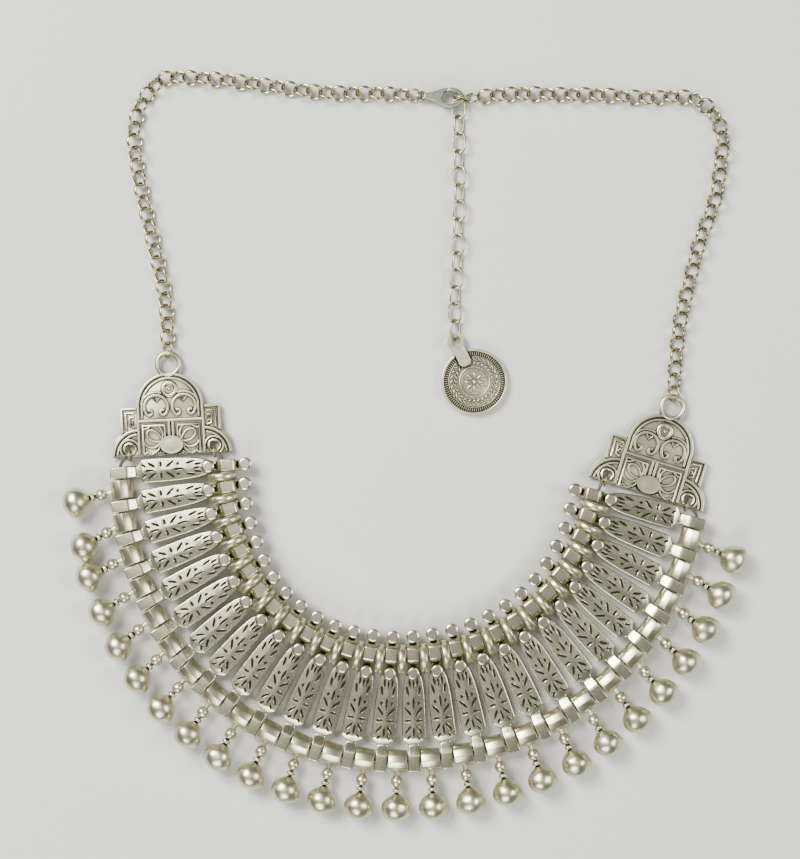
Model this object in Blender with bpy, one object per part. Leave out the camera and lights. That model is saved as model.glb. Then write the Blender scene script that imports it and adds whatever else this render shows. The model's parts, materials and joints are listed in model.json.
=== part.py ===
"""Bib necklace lying flat, worked out from its driving sizes.

Cast bars stand side by side like rays. Their wide ends are threaded on an outer string with
tube spacers and ball drops, their narrow ends on an inner string with lens shaped rondelles.
Two cast plates take the ends of both strings in jump rings, and a link chain joins the plates
behind the neck, with a lobster clasp, an extender chain and a coin charm.

Metres, +Z up. The necklace lies on the plane Z = 0, the neck side towards +Y.
"""
import math

import bmesh
import bpy
from mathutils import Matrix, Vector

MM = 0.001

# Clearance between metal pieces that meet
CLEARANCE = 0.3 * MM

# Chosen routes in steps of this length, seen from above, with each chain from end to end
ROUTE_STEP = 1.0 * MM
OUTER_ROUTE = [
    (-70.5, -6.7), (-69.9, -17.0), (-66.7, -31.2), (-56.0, -52.8), (-36.8, -69.8), (-13.4, -77.8),
    (11.4, -77.8), (34.6, -70.6), (54.4, -55.8), (67.3, -36.4), (73.0, -19.2),
]
LEFT_CHAIN_ROUTE = [
    (-58.9, 28.2), (-59.1, 32.8), (-60.0, 39.8), (-62.5, 51.0), (-65.2, 62.8), (-67.0, 73.5),
    (-67.2, 79.8), (-65.8, 84.8), (-63.2, 89.0), (-60.0, 91.8), (-54.5, 92.2), (-44.8, 91.6),
    (-32.2, 90.0), (-19.8, 88.5), (-4.8, 88.2),
]
RIGHT_CHAIN_ROUTE = [
    (27.5, 88.1), (39.2, 88.0), (50.5, 87.8), (61.8, 87.1), (70.0, 87.4), (75.0, 85.8),
    (78.2, 82.2), (80.0, 77.8), (79.5, 70.2), (78.5, 62.8), (76.5, 57.0), (74.2, 50.8),
    (71.8, 41.2), (69.5, 31.5), (68.4, 22.0),
]
EXTENDER_ROUTE = [
    (14.0, 80.2), (14.0, 71.5), (14.1, 62.8), (13.8, 54.0), (13.6, 46.0), (13.0, 37.0),
]

# The fan of bars
BAR_COUNT = 27
FIRST_BAR_TURN = math.radians(4.2)
LAST_BAR_TURN = math.radians(164.6)

# One cast bar, along its length from the outer string to the head
AXIS_SPAN = 25.5 * MM
LUG_BEFORE_AXIS = 2.6 * MM
LUG_AFTER_AXIS = 1.1 * MM
SLOPE_LENGTH = 2.9 * MM
SHOULDER_LENGTH = 1.3 * MM
BUTTON_BEFORE_AXIS = 3.5 * MM
BUTTON_RADIUS = 1.55 * MM
INNER_LUG_BEFORE_AXIS = 1.4 * MM
INNER_LUG_AFTER_AXIS = 3.7 * MM
HEAD_RADIUS = 1.65 * MM
GROOVE_LENGTH = 0.45 * MM
BEVEL_RUN = 0.4 * MM

# Its widths and heights, heights measured from the string axes
LUG_WIDTH = 3.0 * MM
BLADE_WIDTH = 6.0 * MM
LUG_HEIGHT = 3.0 * MM
BLADE_EDGE_TOP = 0.1 * MM
BLADE_ROOF_RISE = 0.4 * MM
BLADE_BOTTOM = 1.0 * MM
BUTTON_TOP = 1.35 * MM
LUG_CROWN = 0.1 * MM
NECK_WIDTH_SHARE = 0.85
GROOVE_WIDTH_SHARE = 0.6
HEAD_CHORDS = ((-0.8, 0.6), (0.0, 1.0), (1.0, 0.5))

# Strings
THREAD_RADIUS = 0.4 * MM
BORE_CLEARANCE = 0.4 * MM
TUBE_RADIUS = 2.75 * MM
TUBE_END_GAP = 0.45 * MM
RONDELLE_RADIUS = 3.7 * MM
RONDELLE_END_GAP = 0.3 * MM
RONDELLE_RIM_SHARE = 0.62

# Sides of round forms, as few as keep each one round
STRING_SIDES = 10
BORE_SIDES = 6
RING_SIDES = 10
WIRE_SIDES = 5
RIM_SIDES = 14
OVAL_SIDES = 12
SMALL_HOLE_SIDES = 8
COIN_SIDES = 24

# One drop, along its pin from the string axis to the ball
DROP_PIN_RADIUS = 0.5 * MM
DROP_PIN_FREE = 1.9 * MM
DROP_BEAD_RADIUS = 1.5 * MM
DROP_NECK_RADIUS = 0.7 * MM
DROP_NECK_LENGTH = 1.0 * MM
DROP_BALL_RADIUS = 3.5 * MM
BALL_LATITUDES = (-45.0, 5.0, 62.0)
DROP_LEAN = math.radians(8.0)
DROP_SWUNG = 2
DROP_SWUNG_LEAN = math.radians(9.0)

# End plates, from the centre of their round arch, their corner holes inside the string axes
ARCH_RADIUS = 8.5 * MM
PLATE_THICKNESS = 1.3 * MM
PLATE_LIFT = 1.0 * MM
HOLE_INSIDE_AXIS = 2.15 * MM
CORNER_HOLE_X = AXIS_SPAN / 2 - HOLE_INSIDE_AXIS
SHOULDER_PAST_HOLE = 1.9 * MM
FOOT_PAST_HOLE = 4.5 * MM
SHOULDER_HALF_WIDTH = CORNER_HOLE_X + SHOULDER_PAST_HOLE
FOOT_HALF_WIDTH = CORNER_HOLE_X + FOOT_PAST_HOLE
FOOT_HEIGHT = 12.25 * MM
FLARE_HEIGHT = 5.6 * MM
RING_RISE = 10.6 * MM
RING_OUTER_RADIUS = 3.45 * MM
RING_HOLE_RADIUS = 2.1 * MM
CORNER_HOLE_RISE = 1.95 * MM
CORNER_HOLE_RADIUS = 1.1 * MM
BOSS_HALF_LENGTH = 3.0 * MM
BOSS_HALF_WIDTH = 2.3 * MM
BOSS_RISE = 2.6 * MM
BOSS_HEIGHT = 0.5 * MM
PLATE_PAST_MIDDLE = 0.6 * MM
PLATE_GAP = 0.5 * MM
LEFT_PLATE_TURN = math.radians(-1.4)
RIGHT_PLATE_TURN = math.radians(-1.9)

# Jump rings of the plates and the eyes at the ends of the strings
JUMP_WIRE_RADIUS = 0.25 * MM
JUMP_HALF_LENGTH = 1.4 * MM
JUMP_HALF_HEIGHT = 1.65 * MM
JUMP_FLOOR_GAP = 0.05 * MM
EYE_RADIUS = 0.8 * MM
EYE_WIRE_RADIUS = 0.25 * MM

# Chains, clasp and charm
CHAIN_RADIUS = 1.9 * MM
EXTENDER_RADIUS = 1.7 * MM
CHAIN_STEP_SHARE = 4.0
CLASP_RING_CENTRE = (14.7, 86.95)
CLASP_RING_RADIUS = 2.1 * MM
CLASP_RING_WIRE = 0.32 * MM
CLASP_RING_TURN = math.radians(-12.0)
CLASP_LENGTH = 12.0 * MM
CLASP_HALF_WIDTH = 2.5 * MM
CLASP_THICKNESS = 1.9 * MM
CLASP_WIRE_WIDTH = 1.1 * MM
CLASP_OPENING_SHARE = 0.42
CLASP_EYE_RADIUS = 1.3 * MM
CLASP_EYE_HOLE = 0.65 * MM
CLASP_EYE_THICKNESS = 1.14 * MM
CLASP_STEM_OVERLAP = 0.52 * MM
CLASP_TURN = math.radians(-4.0)
COIN_CENTRE = (17.9, 16.1)
COIN_RADIUS = 8.3 * MM
COIN_THICKNESS = 1.5 * MM
COIN_RIM_WIDTH = 0.6 * MM
COIN_RIM_HEIGHT = 0.25 * MM
BAIL_CENTRE = (13.1, 26.2)
BAIL_OUTER_RADIUS = 2.25 * MM
BAIL_HOLE_RADIUS = 1.5 * MM
BAIL_THICKNESS = 1.0 * MM
STRAP_WIDTH = 3.1 * MM
STRAP_OVERLAP = 3.8 * MM

# The clasp's outline from tip to stem, as shares of its body's length and half width
CLASP_SECTIONS = [
    # along, half width
    (0.05, 0.52),
    (0.15, 0.86),
    (0.34, 1.00),
    (0.56, 0.82),
    (0.80, 0.45),
    (1.00, 0.24),
]

# The blade's outline between shoulder and button, as shares of its length and half width
BLADE_SECTIONS = [
    # along, half width
    (0.00, 1.00),
    (0.36, 1.00),
    (1.00, 0.66),
]


def new_object(name, mesh, material):
    """Put a finished mesh in the scene under its own name."""
    mesh.name = name
    obj = bpy.data.objects.new(name, mesh)
    obj.data.materials.clear()
    obj.data.materials.append(material)
    bpy.context.collection.objects.link(obj)
    return obj


def metal(name, colour, roughness):
    """One cast or drawn metal finish."""
    material = bpy.data.materials.new(name)
    material.use_nodes = True
    shader = material.node_tree.nodes["Principled BSDF"]
    shader.inputs["Base Color"].default_value = (*colour, 1.0)
    shader.inputs["Metallic"].default_value = 1.0
    shader.inputs["Roughness"].default_value = roughness
    return material


def mesh_from(bm):
    """Turn a bmesh into a mesh whose faces point out."""
    bmesh.ops.recalc_face_normals(bm, faces=bm.faces)
    mesh = bpy.data.meshes.new("mesh")
    bm.to_mesh(mesh)
    bm.free()
    return mesh


def smooth(mesh):
    """Shade round pieces smooth but keep their edges."""
    mesh.shade_smooth()
    mesh.set_sharp_from_angle(angle=math.radians(35.0))
    return mesh


def loft(bm, sections):
    """Skin a row of equal sided sections and close both ends."""
    rings = []
    for section in sections:
        rings.append([bm.verts.new(point) for point in section])
    for ring, following in zip(rings, rings[1:]):
        count = len(ring)
        for i in range(count):
            j = (i + 1) % count
            bm.faces.new((ring[i], ring[j], following[j], following[i]))
    bm.faces.new(list(reversed(rings[0])))
    bm.faces.new(rings[-1])


def circle(centre, across, up, radius, sides):
    """Points of a polygon in the plane of two unit vectors, one corner straight down."""
    points = []
    for k in range(sides):
        angle = math.tau * k / sides - math.pi / 2
        points.append(centre + radius * (math.cos(angle) * across + math.sin(angle) * up))
    return points


def torus(frame, half_length, half_height, wire, sides=RING_SIDES):
    """An oval ring of round wire in the local XZ plane of a frame."""
    bm = bmesh.new()
    rings = []
    for k in range(sides):
        angle = math.tau * (k + 0.5) / sides
        spoke = Vector((math.cos(angle), 0.0, math.sin(angle)))
        middle = Vector((half_length * spoke.x, 0.0, half_height * spoke.z))
        ring = []
        for j in range(WIRE_SIDES):
            turn = math.tau * j / WIRE_SIDES
            offset = wire * (math.cos(turn) * spoke + math.sin(turn) * Vector((0.0, 1.0, 0.0)))
            ring.append(bm.verts.new(frame @ (middle + offset)))
        rings.append(ring)
    for k in range(sides):
        ring = rings[k]
        following = rings[(k + 1) % sides]
        for j in range(WIRE_SIDES):
            i = (j + 1) % WIRE_SIDES
            bm.faces.new((ring[j], ring[i], following[i], following[j]))
    return mesh_from(bm)


def slab(outline, bottom, top):
    """A flat plate from a closed outline in plan."""
    bm = bmesh.new()
    low = [Vector((x, y, bottom)) for x, y in outline]
    high = [Vector((x, y, top)) for x, y in outline]
    loft(bm, [low, high])
    return mesh_from(bm)


def round_outline(centre, radius_x, radius_y, sides):
    """An ellipse in plan."""
    points = []
    for k in range(sides):
        angle = math.tau * (k + 0.5) / sides
        points.append((centre[0] + radius_x * math.cos(angle), centre[1] + radius_y * math.sin(angle)))
    return points


def combine(mesh, steps):
    """Cut or add other meshes one after the other and return the evaluated result."""
    base = bpy.data.objects.new("base", mesh)
    bpy.context.collection.objects.link(base)
    helpers = [base]
    for operation, other in steps:
        helper = bpy.data.objects.new("helper", other)
        bpy.context.collection.objects.link(helper)
        helpers.append(helper)
        boolean = base.modifiers.new(operation.lower(), "BOOLEAN")
        boolean.operation = operation
        boolean.solver = "EXACT"
        boolean.object = helper
    graph = bpy.context.evaluated_depsgraph_get()
    result = bpy.data.meshes.new_from_object(base.evaluated_get(graph))
    for helper in helpers:
        bpy.data.objects.remove(helper)
    return result


def smooth_curve(points, steps=24):
    """A dense line through chosen points, as a centripetal curve."""
    knots = [Vector(point) for point in points]
    knots = [2 * knots[0] - knots[1]] + knots + [2 * knots[-1] - knots[-2]]
    line = []
    for a, b, c, d in zip(knots, knots[1:], knots[2:], knots[3:]):
        ab = (b - a).length ** 0.5
        bc = (c - b).length ** 0.5
        cd = (d - c).length ** 0.5
        leave = b + ((b - a) / ab - (c - a) / (ab + bc) + (c - b) / bc) * bc / 3
        arrive = c - ((c - b) / bc - (d - b) / (bc + cd) + (d - c) / cd) * bc / 3
        for k in range(steps):
            t = k / steps
            s = 1 - t
            line.append(s ** 3 * b + 3 * s * s * t * leave + 3 * s * t * t * arrive + t ** 3 * c)
    line.append(knots[-2])
    return line


def spread(line, count):
    """Equally spaced points along a dense line."""
    lengths = [0.0]
    for a, b in zip(line, line[1:]):
        lengths.append(lengths[-1] + (b - a).length)
    points = []
    index = 0
    for k in range(count):
        wanted = lengths[-1] * k / (count - 1)
        while index < len(line) - 2 and lengths[index + 1] < wanted:
            index += 1
        share = (wanted - lengths[index]) / (lengths[index + 1] - lengths[index])
        points.append(line[index].lerp(line[index + 1], share))
    return points


def plan(point, height=0.0):
    """A chosen point in route steps as a place in the model."""
    return Vector((point[0] * ROUTE_STEP, point[1] * ROUTE_STEP, height))


def bar_places():
    """The frame of each bar: X along the bar inwards, Y across it, origin on the outer axis."""
    axes = spread(smooth_curve([plan(point, TUBE_RADIUS) for point in OUTER_ROUTE]), BAR_COUNT)
    tilt = math.asin((RONDELLE_RADIUS - TUBE_RADIUS) / AXIS_SPAN)
    places = []
    for k, axis in enumerate(axes):
        turn = FIRST_BAR_TURN + (LAST_BAR_TURN - FIRST_BAR_TURN) * k / (BAR_COUNT - 1)
        lean = Matrix.Rotation(turn, 4, "Z") @ Matrix.Rotation(-tilt, 4, "Y")
        places.append(Matrix.Translation(axis) @ lean)
    return places


def bar_section(along, half_width, bottom, edge, ridge):
    """Five corners of the bar's cross section."""
    return [
        Vector((along, -half_width, bottom)),
        Vector((along, half_width, bottom)),
        Vector((along, half_width, edge)),
        Vector((along, 0.0, ridge)),
        Vector((along, -half_width, edge)),
    ]


def bar_mesh():
    """One cast bar with both bores, shared by all bars."""
    lug = LUG_WIDTH / 2
    lug_top = LUG_HEIGHT / 2
    crown = lug_top + LUG_CROWN
    blade = BLADE_WIDTH / 2
    ridge = BLADE_EDGE_TOP + BLADE_ROOF_RISE
    slope_end = LUG_AFTER_AXIS + SLOPE_LENGTH
    blade_start = slope_end + SHOULDER_LENGTH
    blade_end = AXIS_SPAN - BUTTON_BEFORE_AXIS - BUTTON_RADIUS
    button_end = blade_end + 2 * BUTTON_RADIUS
    inner_start = AXIS_SPAN - INNER_LUG_BEFORE_AXIS
    inner_end = AXIS_SPAN + INNER_LUG_AFTER_AXIS
    head = inner_end + GROOVE_LENGTH + HEAD_RADIUS
    sections = [
        bar_section(-LUG_BEFORE_AXIS, lug, -lug_top, lug_top, crown),
        bar_section(LUG_AFTER_AXIS, lug, -lug_top, lug_top, crown),
        bar_section(slope_end, lug, -BLADE_BOTTOM, BLADE_EDGE_TOP, ridge),
    ]
    for along, half_width in BLADE_SECTIONS:
        place = blade_start + along * (blade_end - blade_start)
        sections.append(bar_section(place, half_width * blade, -BLADE_BOTTOM, BLADE_EDGE_TOP, ridge))
    neck = NECK_WIDTH_SHARE * lug
    groove = GROOVE_WIDTH_SHARE * lug
    sections += [
        bar_section(blade_end + BEVEL_RUN, BUTTON_RADIUS, -BLADE_BOTTOM, BUTTON_TOP, BUTTON_TOP),
        bar_section(button_end - BEVEL_RUN, BUTTON_RADIUS, -BLADE_BOTTOM, BUTTON_TOP, BUTTON_TOP),
        bar_section(inner_start, neck, -BLADE_BOTTOM, BLADE_EDGE_TOP, BLADE_EDGE_TOP),
        bar_section(inner_start + BEVEL_RUN, lug, -lug_top, lug_top, crown),
        bar_section(inner_end, lug, -lug_top, lug_top, crown),
        bar_section(inner_end + GROOVE_LENGTH, groove, -BLADE_BOTTOM, BLADE_EDGE_TOP, BLADE_EDGE_TOP),
    ]
    for along, half_width in HEAD_CHORDS:
        place = head + along * HEAD_RADIUS
        sections.append(bar_section(place, half_width * HEAD_RADIUS, -BLADE_BOTTOM, lug_top, lug_top))
    bm = bmesh.new()
    loft(bm, sections)
    cuts = []
    for along in (0.0, AXIS_SPAN):
        cutter = bmesh.new()
        ends = []
        for side in (-LUG_WIDTH, LUG_WIDTH):
            centre = Vector((along, side, 0.0))
            radius = THREAD_RADIUS + BORE_CLEARANCE
            ends.append(circle(centre, Vector((1.0, 0.0, 0.0)), Vector((0.0, 0.0, 1.0)), radius, BORE_SIDES))
        loft(cutter, ends)
        cuts.append(("DIFFERENCE", mesh_from(cutter)))
    return combine(mesh_from(bm), cuts)


def directions_across(direction):
    """The level direction across a line, and the one that is square to both."""
    across = Vector((0.0, 0.0, 1.0)).cross(direction).normalized()
    return across, direction.normalized().cross(across)


def thread_rows(route):
    """Bare thread through the points of a route, as (place, direction) rows without the last."""
    rows = [(route[0], route[1] - route[0])]
    for before, place, after in zip(route, route[1:], route[2:]):
        rows.append((place, (place - before).normalized() + (after - place).normalized()))
    return rows


def run_of(place):
    """The direction in which both strings run through a bar."""
    return -(place.to_3x3() @ Vector((0.0, 1.0, 0.0)))


def spacer_line(place, following, along_bar):
    """Middle, direction and clear length between two bars' lugs on one of the strings."""
    start = place @ Vector((along_bar, 0.0, 0.0))
    end = following @ Vector((along_bar, 0.0, 0.0))
    run = (run_of(place) + run_of(following)).normalized()
    return (start + end) / 2, run, (end - start).dot(run) - LUG_WIDTH


def string_mesh(places, along_bar, ends, spacer, fittings):
    """A threaded string as one solid: bare thread, spacers, and what is fused to it.

    ends are its (eye, exit) points at either end, or None where it meets the other half, and
    spacer is the (end gap, rim share of the half length, radius) of what sits between two bars.
    """
    gap, rim_share, radius = spacer
    past_lug = LUG_WIDTH / 2 + gap
    axes = [place @ Vector((along_bar, 0.0, 0.0)) for place in places]
    runs = [run_of(place) for place in places]
    rows = []
    if ends[0]:
        rows += [(*row, THREAD_RADIUS) for row in thread_rows([*ends[0], axes[0]])]
    else:
        rows.append((axes[0] + runs[0] * CLEARANCE / 2, runs[0], THREAD_RADIUS))
    for k in range(len(places) - 1):
        middle, run, free = spacer_line(places[k], places[k + 1], along_bar)
        half = (free / 2 - gap) * rim_share
        rows.append((axes[k] + runs[k] * past_lug, run, THREAD_RADIUS))
        rows.append((middle - run * half, run, radius))
        rows.append((middle + run * half, run, radius))
        rows.append((axes[k + 1] - runs[k + 1] * past_lug, run, THREAD_RADIUS))
    if ends[1]:
        tail = thread_rows([*ends[1], axes[-1]])
        rows += [(place, -direction, THREAD_RADIUS) for place, direction in reversed(tail)]
    else:
        rows.append((axes[-1] - runs[-1] * CLEARANCE / 2, runs[-1], THREAD_RADIUS))
    sections = []
    for place, direction, size in rows:
        across, up = directions_across(direction)
        sections.append(circle(place, across, up, size, STRING_SIDES))
    bm = bmesh.new()
    loft(bm, sections)
    return combine(mesh_from(bm), [("UNION", fitting) for fitting in fittings])


def drop_mesh(place, following, number):
    """One drop: pin, bead, neck and ball, lying beside the string with the ball on the floor."""
    middle, run, _ = spacer_line(place, following, 0.0)
    outward = run.cross(Vector((0.0, 0.0, 1.0)))
    lean = DROP_LEAN * -run.y
    if number == DROP_SWUNG:
        lean += DROP_SWUNG_LEAN
    direction = Matrix.Rotation(lean, 3, "Z") @ outward
    bead = TUBE_RADIUS + DROP_PIN_FREE + DROP_BEAD_RADIUS
    neck = bead + DROP_BEAD_RADIUS + DROP_NECK_LENGTH
    ball = neck + DROP_BALL_RADIUS
    direction = (direction * ball + Vector((0.0, 0.0, DROP_BALL_RADIUS - middle.z))).normalized()
    across, up = directions_across(direction)
    rows = [
        (TUBE_RADIUS / 2, DROP_PIN_RADIUS),
        (bead - DROP_BEAD_RADIUS, DROP_PIN_RADIUS),
        (bead, DROP_BEAD_RADIUS),
        (neck - DROP_NECK_LENGTH / 2, DROP_NECK_RADIUS),
    ]
    for latitude in BALL_LATITUDES:
        angle = math.radians(latitude)
        rows.append((ball + DROP_BALL_RADIUS * math.sin(angle), DROP_BALL_RADIUS * math.cos(angle)))
    sections = []
    for reach, radius in rows:
        sections.append(circle(middle + direction * reach, across, up, radius, STRING_SIDES))
    bm = bmesh.new()
    loft(bm, sections)
    return mesh_from(bm)


def plate_frame(place, side):
    """The frame of an end plate from its bar's: X to the right and Y up the plate, on its underside."""
    turn = LEFT_PLATE_TURN if side > 0 else RIGHT_PLATE_TURN
    across = side * (BLADE_WIDTH / 2 + PLATE_GAP + FOOT_HEIGHT)
    inwards = Vector((place[0][0], place[1][0], 0.0)).normalized()
    sideways = Vector((-inwards.y, inwards.x, 0.0))
    start = Vector((place[0][3], place[1][3], PLATE_LIFT))
    centre = start + inwards * (AXIS_SPAN / 2 + PLATE_PAST_MIDDLE) + sideways * across
    right = inwards if side > 0 else -inwards
    heading = math.atan2(right.y, right.x) + turn
    return Matrix.Translation(centre) @ Matrix.Rotation(heading, 4, "Z")


def plate_outline():
    """Foot, flares, shoulders and arch of the plate, right half first."""
    right = [(FOOT_HALF_WIDTH, -FOOT_HEIGHT)]
    for k in range(1, 4):
        angle = math.radians(90.0 * k / 3)
        x = FOOT_HALF_WIDTH - (FOOT_HALF_WIDTH - SHOULDER_HALF_WIDTH) * (1 - math.cos(angle))
        right.append((x, -FOOT_HEIGHT + FLARE_HEIGHT * math.sin(angle)))
    right.append((SHOULDER_HALF_WIDTH, 0.0))
    right.append((ARCH_RADIUS, 0.0))
    for k in range(1, 6):
        angle = math.radians(90.0 * k / 6)
        right.append((ARCH_RADIUS * math.cos(angle), ARCH_RADIUS * math.sin(angle)))
    return right + [(0.0, ARCH_RADIUS)] + [(-x, y) for x, y in reversed(right)]


def plate_mesh():
    """One end plate with its top ring, corner holes and raised oval boss."""
    top = PLATE_THICKNESS
    ring = (0.0, RING_RISE)
    rim_outline = round_outline(ring, RING_OUTER_RADIUS, RING_OUTER_RADIUS, RIM_SIDES)
    steps = [("UNION", slab(rim_outline, 0.0, top))]
    boss = (0.0, BOSS_RISE - FOOT_HEIGHT)
    boss_outline = round_outline(boss, BOSS_HALF_LENGTH, BOSS_HALF_WIDTH, OVAL_SIDES)
    steps.append(("UNION", slab(boss_outline, top / 2, top + BOSS_HEIGHT)))
    hole_outline = round_outline(ring, RING_HOLE_RADIUS, RING_HOLE_RADIUS, OVAL_SIDES)
    steps.append(("DIFFERENCE", slab(hole_outline, -top, 2 * top)))
    for x in (-CORNER_HOLE_X, CORNER_HOLE_X):
        corner = (x, CORNER_HOLE_RISE - FOOT_HEIGHT)
        outline = round_outline(corner, CORNER_HOLE_RADIUS, CORNER_HOLE_RADIUS, SMALL_HOLE_SIDES)
        steps.append(("DIFFERENCE", slab(outline, -top, 2 * top)))
    return combine(slab(plate_outline(), 0.0, top), steps)


def jump_frame(plate, x):
    """The frame of a jump ring that hangs in a plate's corner hole, its X down the plate."""
    centre_z = JUMP_HALF_HEIGHT + JUMP_WIRE_RADIUS + JUMP_FLOOR_GAP - PLATE_LIFT
    y = CORNER_HOLE_RISE - FOOT_HEIGHT - JUMP_HALF_LENGTH - JUMP_WIRE_RADIUS / 2
    quarter = Matrix.Rotation(math.radians(-90.0), 4, "Z")
    return plate @ Matrix.Translation((x, y, centre_z)) @ quarter


def string_eye(jump, exit_point):
    """The eye at a string's end, round the top wire of a jump ring, and where the thread joins it."""
    quarter = Matrix.Rotation(math.radians(90.0), 4, "Z")
    frame = jump @ Matrix.Translation((0.0, 0.0, JUMP_HALF_HEIGHT)) @ quarter
    mesh = torus(frame, EYE_RADIUS, EYE_RADIUS, EYE_WIRE_RADIUS)
    sideways = frame.to_3x3() @ Vector((EYE_RADIUS + EYE_WIRE_RADIUS / 2, 0.0, 0.0))
    if sideways.dot(exit_point - frame.translation) < 0:
        sideways = -sideways
    return mesh, frame.translation + sideways


def lug_exit(place, along, side):
    """A point just outside an end bar's lug, on the string's axis."""
    return place @ Vector((along, side * (LUG_WIDTH / 2 + CLEARANCE), 0.0))


def build_strings(places, jumps, finish):
    """The outer string in two halves that meet in the middle bar, and the inner string."""
    ends = {}
    for (side, string), jump in jumps.items():
        place = places[0] if side == "left" else places[-1]
        along = 0.0 if string == "outer" else AXIS_SPAN
        exit_point = lug_exit(place, along, 1.0 if side == "left" else -1.0)
        eye, join = string_eye(jump, exit_point)
        ends[side, string] = (eye, (join, exit_point))
    middle = BAR_COUNT // 2
    drops = [drop_mesh(place, after, k + 1) for k, (place, after) in enumerate(zip(places, places[1:]))]
    tube = (TUBE_END_GAP, 1.0, TUBE_RADIUS)
    eye, route = ends["left", "outer"]
    mesh = string_mesh(places[:middle + 1], 0.0, (route, None), tube, drops[:middle] + [eye])
    new_object("outer_string_left", smooth(mesh), finish)
    eye, route = ends["right", "outer"]
    mesh = string_mesh(places[middle:], 0.0, (None, route), tube, drops[middle:] + [eye])
    new_object("outer_string_right", smooth(mesh), finish)
    rondelle = (RONDELLE_END_GAP, RONDELLE_RIM_SHARE, RONDELLE_RADIUS)
    first, first_route = ends["left", "inner"]
    last, last_route = ends["right", "inner"]
    mesh = string_mesh(places, AXIS_SPAN, (first_route, last_route), rondelle, [first, last])
    new_object("inner_string", smooth(mesh), finish)


def clasp_mesh():
    """A lobster clasp in plan, tip towards +X at the origin: teardrop loop, tail and eye."""
    eye = (CLASP_EYE_RADIUS - CLASP_LENGTH, 0.0)
    body = CLASP_LENGTH - 2 * CLASP_EYE_RADIUS + CLASP_STEM_OVERLAP
    upper = [(-along * body, half * CLASP_HALF_WIDTH) for along, half in CLASP_SECTIONS]
    outline = [(0.0, 0.0)] + upper + [(x, -y) for x, y in reversed(upper)]
    reach = CLASP_OPENING_SHARE * body / 2
    middle = (-CLASP_WIRE_WIDTH - reach, 0.0)
    opening = round_outline(middle, reach, CLASP_HALF_WIDTH - CLASP_WIRE_WIDTH, OVAL_SIDES)
    top = CLASP_THICKNESS
    eye_low = (top - CLASP_EYE_THICKNESS) / 2
    eye_outline = round_outline(eye, CLASP_EYE_RADIUS, CLASP_EYE_RADIUS, RING_SIDES)
    eye_hole = round_outline(eye, CLASP_EYE_HOLE, CLASP_EYE_HOLE, SMALL_HOLE_SIDES)
    steps = [
        ("UNION", slab(eye_outline, eye_low, top - eye_low)),
        ("DIFFERENCE", slab(opening, -top, 2 * top)),
        ("DIFFERENCE", slab(eye_hole, -top, 2 * top)),
    ]
    return combine(slab(outline, 0.0, top), steps)


def coin_mesh():
    """The coin charm: disc with a raised rim, and a strap with a flat ring soldered on top."""
    bm = bmesh.new()
    field = COIN_THICKNESS
    rim = COIN_THICKNESS + COIN_RIM_HEIGHT
    inside = COIN_RADIUS - COIN_RIM_WIDTH
    rows = ((0.0, COIN_RADIUS), (rim, COIN_RADIUS), (rim, inside), (field, inside))
    sections = []
    for height, radius in rows:
        outline = round_outline((0.0, 0.0), radius, radius, COIN_SIDES)
        sections.append([Vector((x, y, height)) for x, y in outline])
    loft(bm, sections)
    bail = (plan(BAIL_CENTRE) - plan(COIN_CENTRE)).to_2d()
    up = bail.normalized()
    side = Vector((-up.y, up.x)) * STRAP_WIDTH / 2
    start = up * (COIN_RADIUS - STRAP_OVERLAP)
    strap = [start - side, bail - side, bail + side, start + side]
    strap_top = rim + BAIL_THICKNESS / 2
    ring = round_outline(bail, BAIL_OUTER_RADIUS, BAIL_OUTER_RADIUS, OVAL_SIDES)
    hole = round_outline(bail, BAIL_HOLE_RADIUS, BAIL_HOLE_RADIUS, RING_SIDES)
    steps = [
        ("UNION", slab(strap, strap_top - BAIL_THICKNESS, strap_top)),
        ("UNION", slab(ring, strap_top - BAIL_THICKNESS, strap_top)),
        ("DIFFERENCE", slab(hole, -rim, 2 * strap_top)),
    ]
    return combine(mesh_from(bm), steps)


def chain_tube(name, points, radius, finish):
    """A chain's outer form as one tube along a smooth route."""
    line = smooth_curve(points)
    length = sum((b - a).length for a, b in zip(line, line[1:]))
    count = max(4, round(length / (radius * CHAIN_STEP_SHARE)) + 1)
    curve = bpy.data.curves.new(name, "CURVE")
    curve.dimensions = "3D"
    curve.bevel_depth = radius
    curve.bevel_resolution = 2
    curve.use_fill_caps = True
    spline = curve.splines.new("POLY")
    spline.points.add(count - 1)
    for knot, point in zip(spline.points, spread(line, count)):
        knot.co = (*point, 1.0)
    curve.materials.append(finish)
    obj = bpy.data.objects.new(name, curve)
    bpy.context.collection.objects.link(obj)


def short_of(target, towards, distance):
    """A point at a distance from a target, on the way to another point."""
    step = towards - target
    return target + step.normalized() * distance


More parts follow.
